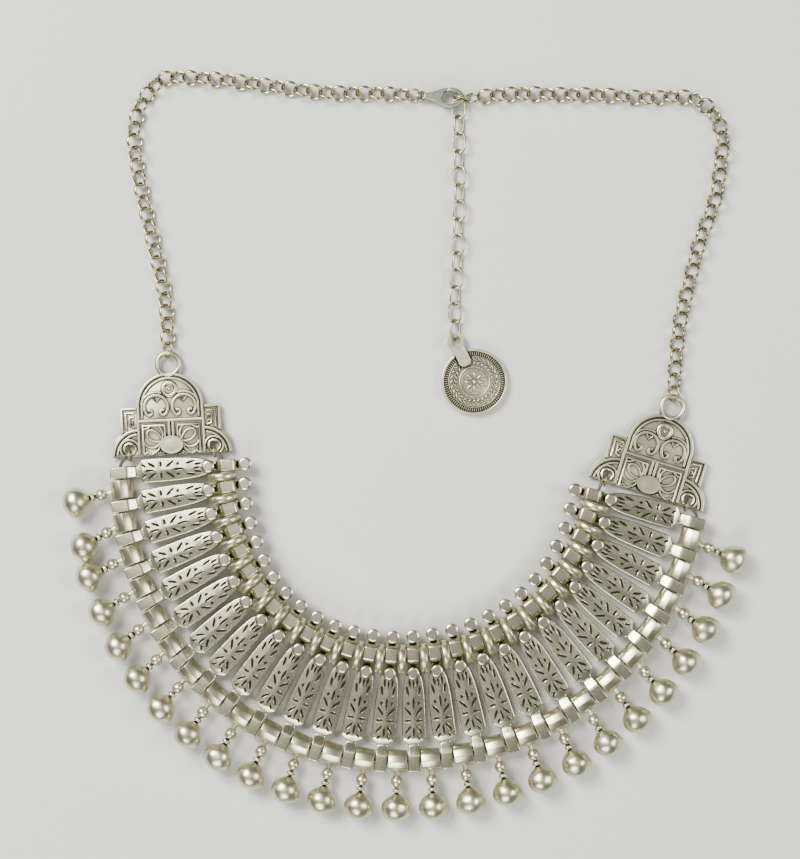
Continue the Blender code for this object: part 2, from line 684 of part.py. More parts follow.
def build_chains(rings, finish):
    """Both neck chains and the extender, each ending just clear of what holds it."""
    height = CHAIN_RADIUS
    left = [plan(point, height) for point in LEFT_CHAIN_ROUTE]
    right = [plan(point, height) for point in RIGHT_CHAIN_ROUTE]
    extender = [plan(point, EXTENDER_RADIUS) for point in EXTENDER_ROUTE]
    plate_reach = RING_OUTER_RADIUS + CLEARANCE
    for ring in rings:
        ring.z = height
    _, tail = clasp_ends()
    tail.z = height
    junction = plan(CLASP_RING_CENTRE, height)
    ring_reach = CLASP_RING_RADIUS + CLASP_RING_WIRE + CLEARANCE
    bail = plan(BAIL_CENTRE, EXTENDER_RADIUS)
    left.insert(0, short_of(rings[0], left[0], plate_reach))
    left.append(short_of(tail, left[-1], CLEARANCE))
    right.insert(0, short_of(junction, right[0], ring_reach))
    right.append(short_of(rings[1], right[-1], plate_reach))
    first = short_of(junction, extender[0], ring_reach)
    first.z = EXTENDER_RADIUS
    extender.insert(0, first)
    extender.append(short_of(bail, extender[-1], BAIL_OUTER_RADIUS + CLEARANCE))
    chain_tube("chain_left", left, CHAIN_RADIUS, finish)
    chain_tube("chain_right", right, CHAIN_RADIUS, finish)
    chain_tube("extender_chain", extender, EXTENDER_RADIUS, finish)


def clasp_ends():
    """Tip and tail of the clasp in plan, its tip bar in the middle of the clasp ring."""
    along = Vector((math.cos(CLASP_TURN), math.sin(CLASP_TURN), 0.0))
    tip = plan(CLASP_RING_CENTRE) + along * CLASP_WIRE_WIDTH / 2
    return tip, tip - along * CLASP_LENGTH


def build_clasp(finish):
    """The lobster clasp and the ring that it holds."""
    tip, _ = clasp_ends()
    clasp = new_object("clasp", clasp_mesh(), finish)
    clasp.location = tip + Vector((0.0, 0.0, 2 * CLASP_RING_WIRE + CLEARANCE))
    clasp.rotation_euler = (0.0, 0.0, CLASP_TURN)
    radius = CLASP_RING_RADIUS
    shape = torus(Matrix.Identity(4), radius, radius, CLASP_RING_WIRE, OVAL_SIDES)
    ring = new_object("clasp_ring", smooth(shape), finish)
    ring.location = plan(CLASP_RING_CENTRE, radius + CLASP_RING_WIRE)
    ring.rotation_euler = (0.0, 0.0, CLASP_RING_TURN)


def stand_at_origin():
    """Move everything so that the middle of the necklace's box is over the origin."""
    graph = bpy.context.evaluated_depsgraph_get()
    corners = []
    for obj in bpy.data.objects:
        whole = obj.evaluated_get(graph)
        mesh = whole.to_mesh()
        corners += [obj.matrix_world @ vertex.co for vertex in mesh.vertices]
        whole.to_mesh_clear()
    middle_x = (min(corner.x for corner in corners) + max(corner.x for corner in corners)) / 2
    middle_y = (min(corner.y for corner in corners) + max(corner.y for corner in corners)) / 2
    lowest = min(corner.z for corner in corners)
    for obj in bpy.data.objects:
        obj.location -= Vector((middle_x, middle_y, lowest))


def main():
    """Clear the scene and build every piece."""
    for obj in list(bpy.data.objects):
        bpy.data.objects.remove(obj)
    bar_finish = metal("Antique silver bar", (0.56, 0.54, 0.48), 0.32)
    string_finish = metal("Antique silver bead", (0.60, 0.58, 0.53), 0.25)
    plate_finish = metal("Antique silver plate", (0.58, 0.56, 0.46), 0.36)
    chain_finish = metal("Silver plated chain", (0.62, 0.59, 0.50), 0.25)
    charm_finish = metal("Antique silver coin", (0.52, 0.51, 0.46), 0.38)

    places = bar_places()
    shape = bar_mesh()
    for k, place in enumerate(places):
        bar = new_object(f"bar_{k + 1:02d}", shape, bar_finish)
        bar.matrix_world = place

    plates = {"left": plate_frame(places[0], 1.0), "right": plate_frame(places[-1], -1.0)}
    plate_shape = plate_mesh()
    jump_shape = smooth(torus(Matrix.Identity(4), JUMP_HALF_LENGTH, JUMP_HALF_HEIGHT, JUMP_WIRE_RADIUS))
    jumps = {}
    rings = []
    for side, frame in plates.items():
        plate = new_object(f"plate_{side}", plate_shape, plate_finish)
        plate.matrix_world = frame
        rings.append(frame @ Vector((0.0, RING_RISE, 0.0)))
        outer_x = -CORNER_HOLE_X if side == "left" else CORNER_HOLE_X
        for string, x in (("outer", outer_x), ("inner", -outer_x)):
            jumps[side, string] = jump_frame(frame, x)
            jump = new_object(f"jump_ring_{side}_{string}", jump_shape, chain_finish)
            jump.matrix_world = jumps[side, string]

    build_strings(places, jumps, string_finish)
    build_chains(rings, chain_finish)
    build_clasp(chain_finish)
    coin = new_object("coin_charm", coin_mesh(), charm_finish)
    coin.location = plan(COIN_CENTRE)
    bpy.context.view_layer.update()
    stand_at_origin()


main()
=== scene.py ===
"""Looks of a bib necklace that lies flat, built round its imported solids.

Cast bars with engraved stars stand side by side like rays on two strings, with eight sided tubes,
lens shaped rondelles and ball drops between them, cast plates at both ends, link chains, a lobster
clasp, an extender and a coin charm. Metres, +Z up, in the solids' own frame.
"""
import json
import math
import random

import bmesh
import bpy
from mathutils import Matrix, Vector

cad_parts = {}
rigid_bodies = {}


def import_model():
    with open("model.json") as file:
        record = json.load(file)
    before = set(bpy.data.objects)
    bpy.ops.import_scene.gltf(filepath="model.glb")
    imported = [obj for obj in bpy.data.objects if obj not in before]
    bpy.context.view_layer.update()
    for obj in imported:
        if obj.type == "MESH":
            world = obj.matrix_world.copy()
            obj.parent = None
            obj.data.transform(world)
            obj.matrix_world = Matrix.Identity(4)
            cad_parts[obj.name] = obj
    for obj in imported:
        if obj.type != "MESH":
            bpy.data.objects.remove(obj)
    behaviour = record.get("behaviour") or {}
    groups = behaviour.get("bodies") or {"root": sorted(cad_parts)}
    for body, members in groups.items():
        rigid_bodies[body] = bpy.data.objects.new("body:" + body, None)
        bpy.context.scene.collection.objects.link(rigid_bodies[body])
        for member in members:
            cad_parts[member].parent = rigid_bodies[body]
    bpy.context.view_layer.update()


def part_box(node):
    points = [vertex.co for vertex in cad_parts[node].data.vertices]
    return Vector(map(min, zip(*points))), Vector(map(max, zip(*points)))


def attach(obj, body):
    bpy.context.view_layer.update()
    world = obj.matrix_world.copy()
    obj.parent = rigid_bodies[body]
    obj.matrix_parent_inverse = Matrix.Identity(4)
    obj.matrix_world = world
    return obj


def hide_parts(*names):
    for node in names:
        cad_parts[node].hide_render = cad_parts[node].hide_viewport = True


bl_info = {
    "name": "Bib Necklace",
    "version": (1, 0, 0),
    "blender": (4, 5, 0),
    "location": "View3D > Sidebar > Necklace",
    "description": "Cast bars, strings, plates, chains, clasp and coin of a bib necklace",
    "category": "Add Mesh",
}

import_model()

MM = 0.001
DEG = math.pi / 180.0
UP = Vector((0.0, 0.0, 1.0))

# Routes as in the solids' source, in steps of this length, before the whole is centred
ROUTE_STEP = 1.0 * MM
OUTER_ROUTE = [
    (-70.5, -6.7), (-69.9, -17.0), (-66.7, -31.2), (-56.0, -52.8), (-36.8, -69.8), (-13.4, -77.8),
    (11.4, -77.8), (34.6, -70.6), (54.4, -55.8), (67.3, -36.4), (73.0, -19.2),
]
LEFT_CHAIN_ROUTE = [
    (-58.9, 28.2), (-59.1, 32.8), (-60.0, 39.8), (-62.5, 51.0), (-65.2, 62.8), (-67.0, 73.5),
    (-67.2, 79.8), (-65.8, 84.8), (-63.2, 89.0), (-60.0, 91.8), (-54.5, 92.2), (-44.8, 91.6),
    (-32.2, 90.0), (-19.8, 88.5), (-4.8, 88.2),
]
RIGHT_CHAIN_ROUTE = [
    (27.5, 88.1), (39.2, 88.0), (50.5, 87.8), (61.8, 87.1), (70.0, 87.4), (75.0, 85.8),
    (78.2, 82.2), (80.0, 77.8), (79.5, 70.2), (78.5, 62.8), (76.5, 57.0), (74.2, 50.8),
    (71.8, 41.2), (69.5, 31.5), (68.4, 22.0),
]
EXTENDER_ROUTE = [
    (14.0, 80.2), (14.0, 71.5), (14.1, 62.8), (13.8, 54.0), (13.6, 46.0), (13.0, 37.0),
]
CLASP_RING_CENTRE = (14.7, 86.95)
COIN_CENTRE = (17.9, 16.1)
BAIL_CENTRE = (13.1, 26.2)
PICTURE_MIDDLE = (-0.75, 4.125)

# The photograph's height in pixels, and what one pixel is on the necklace
PICTURE_HEIGHT = 859
PIXEL_SIZE = 0.25 * MM

# The fan of bars
BAR_COUNT = 27
FIRST_BAR_TURN = 4.2 * DEG
LAST_BAR_TURN = 164.6 * DEG

# One cast bar, from the axis of the outer string to its head
AXIS_SPAN = 25.5 * MM
LUG_WIDTH = 3.0 * MM
LUG_HEIGHT = 3.0 * MM
BLADE_WIDTH = 6.0 * MM
BLADE_BOTTOM = -1.0 * MM
BLADE_TOP = 0.1 * MM
BLADE_RIDGE = 0.5 * MM
BUTTON_PLACE = 22.0 * MM
BUTTON_RADIUS = 1.55 * MM
BUTTON_TOP = 1.35 * MM
HEAD_PLACE = 31.3 * MM
HEAD_RADIUS = 1.65 * MM
BORE_RADIUS = 0.8 * MM

# Strings
THREAD_RADIUS = 0.4 * MM
TUBE_RADIUS = 2.75 * MM
TUBE_END_GAP = 0.35 * MM
RONDELLE_RADIUS = 3.7 * MM
RONDELLE_END_GAP = 0.2 * MM
CLEARANCE = 0.3 * MM

# One drop, along its pin from the string's axis
DROP_PIN_FREE = 1.9 * MM
DROP_BEAD_RADIUS = 1.5 * MM
DROP_NECK_LENGTH = 1.0 * MM
DROP_BALL_RADIUS = 3.5 * MM
DROP_LEAN = 8.0 * DEG
DROP_SWUNG = 2
DROP_SWUNG_LEAN = 9.0 * DEG

# End plates, from the centre of their round arch
ARCH_RADIUS = 8.5 * MM
PLATE_LIFT = 1.0 * MM
PLATE_THICKNESS = 1.3 * MM
PLATE_GAP = 0.5 * MM
PLATE_PAST_MIDDLE = 0.6 * MM
LEFT_PLATE_TURN = -1.4 * DEG
RIGHT_PLATE_TURN = -1.9 * DEG
SHOULDER_HALF_WIDTH = 12.5 * MM
FOOT_HALF_WIDTH = 15.1 * MM
FOOT_HEIGHT = 12.25 * MM
FLARE_HEIGHT = 5.6 * MM
RING_RISE = 10.6 * MM
CORNER_HOLE_X = 10.6 * MM
CORNER_HOLE_Y = -10.3 * MM
CORNER_HOLE_RADIUS = 1.1 * MM

# Jump rings of the plates and the eyes of the strings
JUMP_WIRE = 0.25 * MM
JUMP_HALF_LENGTH = 1.4 * MM
JUMP_HALF_HEIGHT = 1.65 * MM
JUMP_FLOOR_GAP = 0.05 * MM
EYE_RADIUS = 0.8 * MM
EYE_WIRE = 0.25 * MM

# Neck chain links: how much wider their wire is across than through, and how steep the end links are
LINK_BAND = 1.6
END_LINK_TILT = 50.0 * DEG
CHAIN_HEIGHT = 1.9 * MM
LINK_TILT_SLACK = 7.0 * DEG

# How far from the middle of a fitting the link stands that goes through it
THROUGH_PLATE_RING = 3.55 * MM
THROUGH_CLASP_RING = 2.88 * MM
THROUGH_BAIL = 3.0 * MM

# Extender links, from the middle of their wire
EXTENDER_PITCH = 4.15 * MM
EXTENDER_BEND = 1.6 * MM
EXTENDER_WIRE = 0.3 * MM
EXTENDER_HEIGHT = 1.7 * MM
EXTENDER_START = Vector((-0.7 * MM, -2.4 * MM, 0.0))
EXTENDER_FLAT_TILT = (16.0, 26.0)
EXTENDER_STEEP_TILT = (-54.0, -46.0)
LINK_GAP = 0.12 * MM

# Clasp and coin
CLASP_RING_RADIUS = 2.1 * MM
CLASP_RING_WIRE = 0.32 * MM
CLASP_RING_TURN = -12.0 * DEG
CLASP_LENGTH = 12.0 * MM
CLASP_HALF_WIDTH = 2.5 * MM
CLASP_THICKNESS = 1.9 * MM
CLASP_WIRE_WIDTH = 1.1 * MM
CLASP_ARM_WIDTH = 0.85 * MM
CLASP_EYE_RADIUS = 1.3 * MM
CLASP_TURN = -4.0 * DEG
COIN_RADIUS = 8.3 * MM
COIN_RIM_TOP = 1.75 * MM
COIN_FIELD = 1.3 * MM
BAIL_OUTER_RADIUS = 2.25 * MM
BAIL_HOLE_RADIUS = 1.5 * MM
BAIL_THICKNESS = 1.0 * MM
STRAP_WIDTH = 3.1 * MM
STRAP_OVERLAP = 3.8 * MM

# Sides of the coin in the solids, whose box gives how far the whole was moved to be centred
CAD_COIN_SIDES = 24
COIN_REACH = COIN_RADIUS * math.cos(math.pi / CAD_COIN_SIDES)
COIN_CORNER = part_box("coin_charm")[0]
SHIFT = Vector((
    COIN_CORNER.x - COIN_CENTRE[0] * ROUTE_STEP + COIN_REACH,
    COIN_CORNER.y - COIN_CENTRE[1] * ROUTE_STEP + COIN_REACH,
    0.0,
))


def linear(code):
    """Turn an sRGB hex colour such as #C8C4B0 into linear red, green and blue."""
    channels = []
    for start in (1, 3, 5):
        value = int(code[start:start + 2], 16) / 255.0
        channels.append(value / 12.92 if value <= 0.04045 else ((value + 0.055) / 1.055) ** 2.4)
    return tuple(channels)


# Sizes and colours that a user would change

class NecklaceBarLook(bpy.types.PropertyGroup):
    """Cast bars."""
    cut_depth: bpy.props.FloatProperty(
        name="Cut Depth", description="How deep the engraved strokes go into the blade",
        default=0.42 * MM, min=0.0, max=0.8 * MM, unit="LENGTH")
    cut_width: bpy.props.FloatProperty(
        name="Cut Width", description="Half the width of an engraved stroke at its middle",
        default=0.32 * MM, min=0.05 * MM, max=0.5 * MM, unit="LENGTH")
    edge_round: bpy.props.FloatProperty(
        name="Edge Rounding", description="Width of the worn edge round each bar",
        default=0.28 * MM, min=0.0, max=0.5 * MM, unit="LENGTH")


class NecklaceStringLook(bpy.types.PropertyGroup):
    """Tubes, rondelles and drops."""
    tube_edge: bpy.props.FloatProperty(
        name="Tube Edge", description="Rounding along the lower edges of a tube",
        default=0.7 * MM, min=0.0, max=1.0 * MM, unit="LENGTH")
    rondelle_rim: bpy.props.FloatProperty(
        name="Rondelle Rim", description="Rounding of a rondelle's rim",
        default=0.62 * MM, min=0.1 * MM, max=1.0 * MM, unit="LENGTH")
    ball_dents: bpy.props.FloatProperty(
        name="Ball Dents", description="How far the hollow balls are dented",
        default=0.34 * MM, min=0.0, max=0.8 * MM, unit="LENGTH")


class NecklacePlateLook(bpy.types.PropertyGroup):
    """End plates."""
    field: bpy.props.FloatProperty(
        name="Field Height", description="Height of the plate's sunk field above its back",
        default=0.82 * MM, min=0.4 * MM, max=1.2 * MM, unit="LENGTH")
    rib: bpy.props.FloatProperty(
        name="Rib Radius", description="Half the width of the raised bands round the plate",
        default=0.42 * MM, min=0.1 * MM, max=0.5 * MM, unit="LENGTH")
    fine_rib: bpy.props.FloatProperty(
        name="Fine Rib Radius", description="Half the width of the raised bands of the scrolls",
        default=0.3 * MM, min=0.05 * MM, max=0.4 * MM, unit="LENGTH")


class NecklaceChainLook(bpy.types.PropertyGroup):
    """Link chains."""
    link_radius: bpy.props.FloatProperty(
        name="Link Radius", description="Radius of a round link at the middle of its wire",
        default=1.94 * MM, min=1.0 * MM, max=3.0 * MM, unit="LENGTH")
    link_wire: bpy.props.FloatProperty(
        name="Link Wire", description="Half the thickness of the round links' wire",
        default=0.3 * MM, min=0.1 * MM, max=0.6 * MM, unit="LENGTH")
    link_pitch: bpy.props.FloatProperty(
        name="Link Pitch", description="Distance from one round link's middle to the next",
        default=3.09 * MM, min=2.0 * MM, max=4.0 * MM, unit="LENGTH")
    link_tilt: bpy.props.FloatProperty(
        name="Link Tilt", description="How far the links lie tilted, one to each side in turn",
        default=43.0 * DEG, min=0.0, max=90.0 * DEG, subtype="ANGLE")


class NecklaceCoinLook(bpy.types.PropertyGroup):
    """Coin charm."""
    teeth: bpy.props.IntProperty(
        name="Teeth", description="Number of teeth inside the coin's rim", default=84, min=12, max=160)
    leaves: bpy.props.IntProperty(
        name="Leaves", description="Number of leaf pairs in the coin's wreath", default=14, min=4, max=40)
    petals: bpy.props.IntProperty(
        name="Petals", description="Number of petals of the coin's rosette", default=8, min=3, max=16)


class NecklaceFinish(bpy.types.PropertyGroup):
    """Colours of the metals."""
    silver: bpy.props.FloatVectorProperty(
        name="Silver", description="Bright antique silver where it is rubbed",
        default=linear("#DEDABD"), size=3, min=0.0, max=1.0, subtype="COLOR")
    patina: bpy.props.FloatVectorProperty(
        name="Patina", description="Blackened silver in the recesses",
        default=linear("#2E2C1E"), size=3, min=0.0, max=1.0, subtype="COLOR")
    # Painted reflection: the duller, pinkish colour that the flat tops facing straight up take
    reflected_flats: bpy.props.FloatVectorProperty(
        name="Flats", description="Dull flat tops of lugs, buttons and heads",
        default=linear("#CFC2B2"), size=3, min=0.0, max=1.0, subtype="COLOR")
    steel: bpy.props.FloatVectorProperty(
        name="Plated Steel", description="Plated steel of the chains",
        default=linear("#C6C0A2"), size=3, min=0.0, max=1.0, subtype="COLOR")


class NecklaceStageLook(bpy.types.PropertyGroup):
    """Floor, light and camera."""
    floor: bpy.props.FloatVectorProperty(
        name="Floor", description="Colour of the plain floor",
        default=linear("#DEDDD9"), size=3, min=0.0, max=1.0, subtype="COLOR")
    key_power: bpy.props.FloatProperty(
        name="Key Power", description="Power of the main soft light", default=8.0, min=0.0, unit="POWER")
    room: bpy.props.FloatProperty(
        name="Room Light", description="Strength of the light from all round", default=0.14, min=0.0)
    lens: bpy.props.FloatProperty(
        name="Lens", description="Focal length of the camera in millimetres", default=85.0, min=20.0)


# Layout, worked out as in the solids' source

def plan(point, height=0.0):
    """A chosen point in route steps as a place in the model."""
    return Vector((point[0] * ROUTE_STEP, point[1] * ROUTE_STEP, height)) + SHIFT


def smooth_curve(points, steps=24):
    """A dense line through chosen points, as a centripetal curve."""
    knots = [Vector(point) for point in points]
    knots = [2 * knots[0] - knots[1]] + knots + [2 * knots[-1] - knots[-2]]
    line = []
    for a, b, c, d in zip(knots, knots[1:], knots[2:], knots[3:]):
        ab = (b - a).length ** 0.5
        bc = (c - b).length ** 0.5
        cd = (d - c).length ** 0.5
        leave = b + ((b - a) / ab - (c - a) / (ab + bc) + (c - b) / bc) * bc / 3
        arrive = c - ((c - b) / bc - (d - b) / (bc + cd) + (d - c) / cd) * bc / 3
        for k in range(steps):
            t = k / steps
            s = 1 - t
            line.append(s ** 3 * b + 3 * s * s * t * leave + 3 * s * t * t * arrive + t ** 3 * c)
    line.append(knots[-2])
    return line


def line_length(line):
    """Length of a dense line."""
    return sum((b - a).length for a, b in zip(line, line[1:]))


def spread(line, count):
    """Equally spaced points along a dense line."""
    lengths = [0.0]
    for a, b in zip(line, line[1:]):
        lengths.append(lengths[-1] + (b - a).length)
    points = []
    index = 0
    for k in range(count):
        wanted = lengths[-1] * k / (count - 1)
        while index < len(line) - 2 and lengths[index + 1] < wanted:
            index += 1
        share = (wanted - lengths[index]) / (lengths[index + 1] - lengths[index])
        points.append(line[index].lerp(line[index + 1], share))
    return points


def bar_places():
    """The frame of each bar: X along the bar inwards, Y across it, origin on the outer axis."""
    axes = spread(smooth_curve([plan(point, TUBE_RADIUS) for point in OUTER_ROUTE]), BAR_COUNT)
    tilt = math.asin((RONDELLE_RADIUS - TUBE_RADIUS) / AXIS_SPAN)
    places = []
    for k, axis in enumerate(axes):
        turn = FIRST_BAR_TURN + (LAST_BAR_TURN - FIRST_BAR_TURN) * k / (BAR_COUNT - 1)
        lean = Matrix.Rotation(turn, 4, "Z") @ Matrix.Rotation(-tilt, 4, "Y")
        places.append(Matrix.Translation(axis) @ lean)
    return places


def run_of(place):
    """The direction in which both strings run through a bar."""
    return -(place.to_3x3() @ Vector((0.0, 1.0, 0.0)))


def spacer_line(place, following, along_bar):
    """Middle, direction and clear length between two bars' lugs on one of the strings."""
    start = place @ Vector((along_bar, 0.0, 0.0))
    end = following @ Vector((along_bar, 0.0, 0.0))
    run = (run_of(place) + run_of(following)).normalized()
    return (start + end) / 2, run, (end - start).dot(run) - LUG_WIDTH


def facing(origin, z_axis, x_hint):
    """A frame at a place, its Z along one direction and its X near another."""
    z = z_axis.normalized()
    y = z.cross(x_hint).normalized()
    x = y.cross(z)
    turn = Matrix((x, y, z)).transposed().to_4x4()
    return Matrix.Translation(origin) @ turn


def plate_frame(place, side):
    """The frame of an end plate from its bar's: X to the right and Y up the plate, on its underside."""
    turn = LEFT_PLATE_TURN if side > 0 else RIGHT_PLATE_TURN
    across = side * (BLADE_WIDTH / 2 + PLATE_GAP + FOOT_HEIGHT)
    inwards = Vector((place[0][0], place[1][0], 0.0)).normalized()
    sideways = Vector((-inwards.y, inwards.x, 0.0))
    start = Vector((place[0][3], place[1][3], PLATE_LIFT))
    centre = start + inwards * (AXIS_SPAN / 2 + PLATE_PAST_MIDDLE) + sideways * across
    right = inwards if side > 0 else -inwards
    heading = math.atan2(right.y, right.x) + turn
    return Matrix.Translation(centre) @ Matrix.Rotation(heading, 4, "Z")


def plate_frames():
    """The frames of both end plates by side."""
    places = bar_places()
    return {"left": plate_frame(places[0], 1.0), "right": plate_frame(places[-1], -1.0)}


def jump_frame(plate, x):
    """The frame of a jump ring that hangs in a plate's corner hole, its X down the plate."""
    centre_z = JUMP_HALF_HEIGHT + JUMP_WIRE + JUMP_FLOOR_GAP - PLATE_LIFT
    y = CORNER_HOLE_Y - JUMP_HALF_LENGTH - JUMP_WIRE / 2
    return plate @ Matrix.Translation((x, y, centre_z)) @ Matrix.Rotation(-90.0 * DEG, 4, "Z")


def jump_frames():
    """The frames of the four jump rings by side and string."""
    jumps = {}
    for side, plate in plate_frames().items():
        outer_x = -CORNER_HOLE_X if side == "left" else CORNER_HOLE_X
        jumps[side, "outer"] = jump_frame(plate, outer_x)
        jumps[side, "inner"] = jump_frame(plate, -outer_x)
    return jumps


# Modelling as by hand

def solo(*pieces):
    """Select these objects alone, the first one active."""
    bpy.ops.object.select_all(action="DESELECT")
    for piece in pieces:
        piece.select_set(True)
    bpy.context.view_layer.objects.active = pieces[0]
    return pieces[0]


def edit(piece, mode="VERT"):
    """Enter edit mode on one object."""
    solo(piece)
    bpy.ops.object.mode_set(mode="EDIT")
    bpy.ops.mesh.select_mode(type=mode)


def pick(piece, kind, test):
    """In edit mode, select the verts or faces that pass a test."""
    bpy.ops.mesh.select_all(action="DESELECT")
    shape = bmesh.from_edit_mesh(piece.data)
    for item in getattr(shape, kind):
        if test(item):
            item.select_set(True)
    shape.select_flush_mode()
    bmesh.update_edit_mesh(piece.data)


def leave_edit():
    """Back to object mode."""
    bpy.ops.object.mode_set(mode="OBJECT")


def settle(piece):
    """Put an object's place, turn and scale in its mesh."""
    solo(piece)
    bpy.ops.object.transform_apply(location=True, rotation=True, scale=True)
    return piece


def modify(piece, kind, **settings):
    """Add a modifier, set it and apply it."""
    solo(piece)
    bpy.ops.object.modifier_add(type=kind)
    modifier = piece.modifiers[-1]
    for name, value in settings.items():
        setattr(modifier, name, value)
    bpy.ops.object.modifier_apply(modifier=modifier.name)
    return piece


def soften(piece, width, segments=2, angle=35.0):
    """Round off the edges of a piece that are sharper than an angle."""
    return modify(
        piece, "BEVEL", width=width, segments=segments, limit_method="ANGLE",
        angle_limit=angle * DEG, use_clamp_overlap=True)


def join(*pieces):
    """Join objects into the first one."""
    solo(*pieces)
    bpy.ops.object.join()
    return pieces[0]


def discard(*pieces):
    """Delete helper objects with their meshes."""
    for piece in pieces:
        data = piece.data
        bpy.data.objects.remove(piece)
        if data.users == 0:
            bpy.data.batch_remove([data])


def fuse(piece, other, operation="UNION", crossing=False):
    """Join or cut a piece with a helper, whose faces keep their own material."""
    modify(
        piece, "BOOLEAN", operation=operation, object=other, solver="EXACT",
        material_mode="TRANSFER", use_self=crossing)
    discard(other)
    return piece


def block(centre, size):
    """A box at its size and place."""
    bpy.ops.mesh.primitive_cube_add(size=1.0, location=centre, scale=size)
    return settle(bpy.context.active_object)


def drum(centre, radius, depth, sides=32, turn=(0.0, 0.0, 0.0)):
    """A cylinder at its size and place, from its middle."""
    bpy.ops.mesh.primitive_cylinder_add(
        vertices=sides, radius=radius, depth=depth, location=centre, rotation=turn)
    return settle(bpy.context.active_object)


def hoop(centre, radius, wire, sides=32, wire_sides=8, turn=(0.0, 0.0, 0.0)):
    """A torus at its size and place."""
    bpy.ops.mesh.primitive_torus_add(
        major_radius=radius, minor_radius=wire, major_segments=sides, minor_segments=wire_sides,
        location=centre, rotation=turn)
    return settle(bpy.context.active_object)


def dome(centre, size, segments=24, rings=12):
    """A flattened ball at its place, from its half sizes."""
    bpy.ops.mesh.primitive_uv_sphere_add(segments=segments, ring_count=rings, radius=1.0, location=centre)
    piece = bpy.context.active_object
    piece.scale = size
    return settle(piece)


def capped_drum(centre, radius, bottom, top, rim, sides=32):
    """A round stub with a sloping rim round its flat top."""
    rise = 0.45 * rim
    middle = (centre[0], centre[1], (bottom + top - rise) / 2)
    piece = drum(middle, radius, top - rise - bottom, sides)
    edit(piece, "FACE")
    pick(piece, "faces", lambda face: face.normal.z > 0.9)
    bpy.ops.mesh.inset(thickness=rim, depth=rise)
    leave_edit()
    return soften(piece, 0.25 * rim, 2, 15.0)


def traced_slab(outline, bottom, thickness):
    """A flat plate: its outline traced point by point, filled and extruded up."""
    start = Vector((outline[0][0], outline[0][1], bottom))
    bpy.ops.mesh.primitive_plane_add(size=MM, location=start)
    piece = settle(bpy.context.active_object)
    edit(piece)
    bpy.ops.mesh.select_all(action="SELECT")
    bpy.ops.mesh.merge(type="CENTER")
    for here, there in zip(outline, outline[1:]):
        step = (there[0] - here[0], there[1] - here[1], 0.0)
        bpy.ops.mesh.extrude_vertices_move(TRANSFORM_OT_translate={"value": step})
    bpy.ops.mesh.select_all(action="SELECT")
    bpy.ops.mesh.edge_face_add()
    bpy.ops.mesh.extrude_region_move(TRANSFORM_OT_translate={"value": (0.0, 0.0, thickness)})
    bpy.ops.mesh.select_all(action="SELECT")
    bpy.ops.mesh.normals_make_consistent(inside=False)
    leave_edit()
    return piece


def wires(lines, radius, height, rings=2, flat=1.0):
    """Wires along lines at one height, as one mesh with closed ends, round or pressed flat."""
    bpy.ops.curve.primitive_bezier_curve_add(location=(0.0, 0.0, 0.0))
    piece = bpy.context.active_object
    curve = piece.data
    curve.splines.clear()
    curve.dimensions = "3D"
    curve.bevel_depth = radius
    curve.bevel_resolution = rings
    curve.use_fill_caps = True
    for line in lines:
        spline = curve.splines.new("POLY")
        spline.points.add(len(line) - 1)
        for knot, point in zip(spline.points, line):
            z = point[2] if len(point) > 2 else height
            knot.co = (point[0], point[1], z, 1.0)
    solo(piece)
    bpy.ops.object.convert(target="MESH")
    piece = bpy.context.active_object
    edit(piece)
    bpy.ops.mesh.select_all(action="SELECT")
    bpy.ops.mesh.remove_doubles(threshold=0.001 * MM)
    bpy.ops.transform.resize(value=(1.0, 1.0, flat), center_override=(0.0, 0.0, height))
    bpy.ops.mesh.normals_make_consistent(inside=False)
    leave_edit()
    return piece


def arc(centre, radius, start, end, steps=16):
    """Points of a round arc in plan, angles in degrees; a pair of radii makes it oval."""
    across, up = radius if isinstance(radius, tuple) else (radius, radius)
    points = []
    for k in range(steps + 1):
        angle = (start + (end - start) * k / steps) * DEG
        points.append((centre[0] + across * math.cos(angle), centre[1] + up * math.sin(angle)))
    return points


def bend(points, steps=6):
    """A smooth line in plan through chosen points."""
    return [(p.x, p.y) for p in smooth_curve([(x, y, 0.0) for x, y in points], steps)]


def mm_line(*points):
    """Chosen points in millimetres as a line in metres."""
    return [(x * MM, y * MM) for x, y in points]


def mirrored(lines):
    """Each line and its mirror image across the middle of a plate."""
    return lines + [[(-x, y) for x, y in line] for line in lines]


def copy_at(master, name, matrix):
    """A copy of a finished shape with its own mesh, its place in that mesh."""
    solo(master)
    bpy.ops.object.duplicate(linked=False)
    piece = bpy.context.active_object
    piece.name = name
    piece.data.name = name
    piece.matrix_world = matrix
    return settle(piece)


def weigh(piece, angle=50.0):
    """Shade a piece so that its rounded edges are smooth and its large faces stay flat."""
    solo(piece)
    bpy.ops.object.shade_smooth_by_angle(angle=angle * DEG)
    return modify(piece, "WEIGHTED_NORMAL", keep_sharp=True)


def paint(piece, *materials):
    """Give a piece its materials, all faces the first one."""
    piece.data.materials.clear()
    for material in materials:
        piece.data.materials.append(material)
    return piece


def complete(piece, name, slot, *nodes, angle=32.0):
    """Name a finished piece, shade it and let it ride in the place of its solids."""
    settle(piece)
    bpy.ops.object.shade_smooth_by_angle(angle=angle * DEG)
    piece.name = name
    piece.data.name = name
    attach(piece, "root")
    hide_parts(*nodes)
    return piece


# Materials

# What most of a noise pattern lies between, how open a place is where the rubbing starts and ends,
# and the share of its brightness that tarnished silver keeps
NOISE_RANGE = (0.3, 0.7)
RUBBED_RANGE = (0.58, 0.97)
DULL_SHARE = 0.7


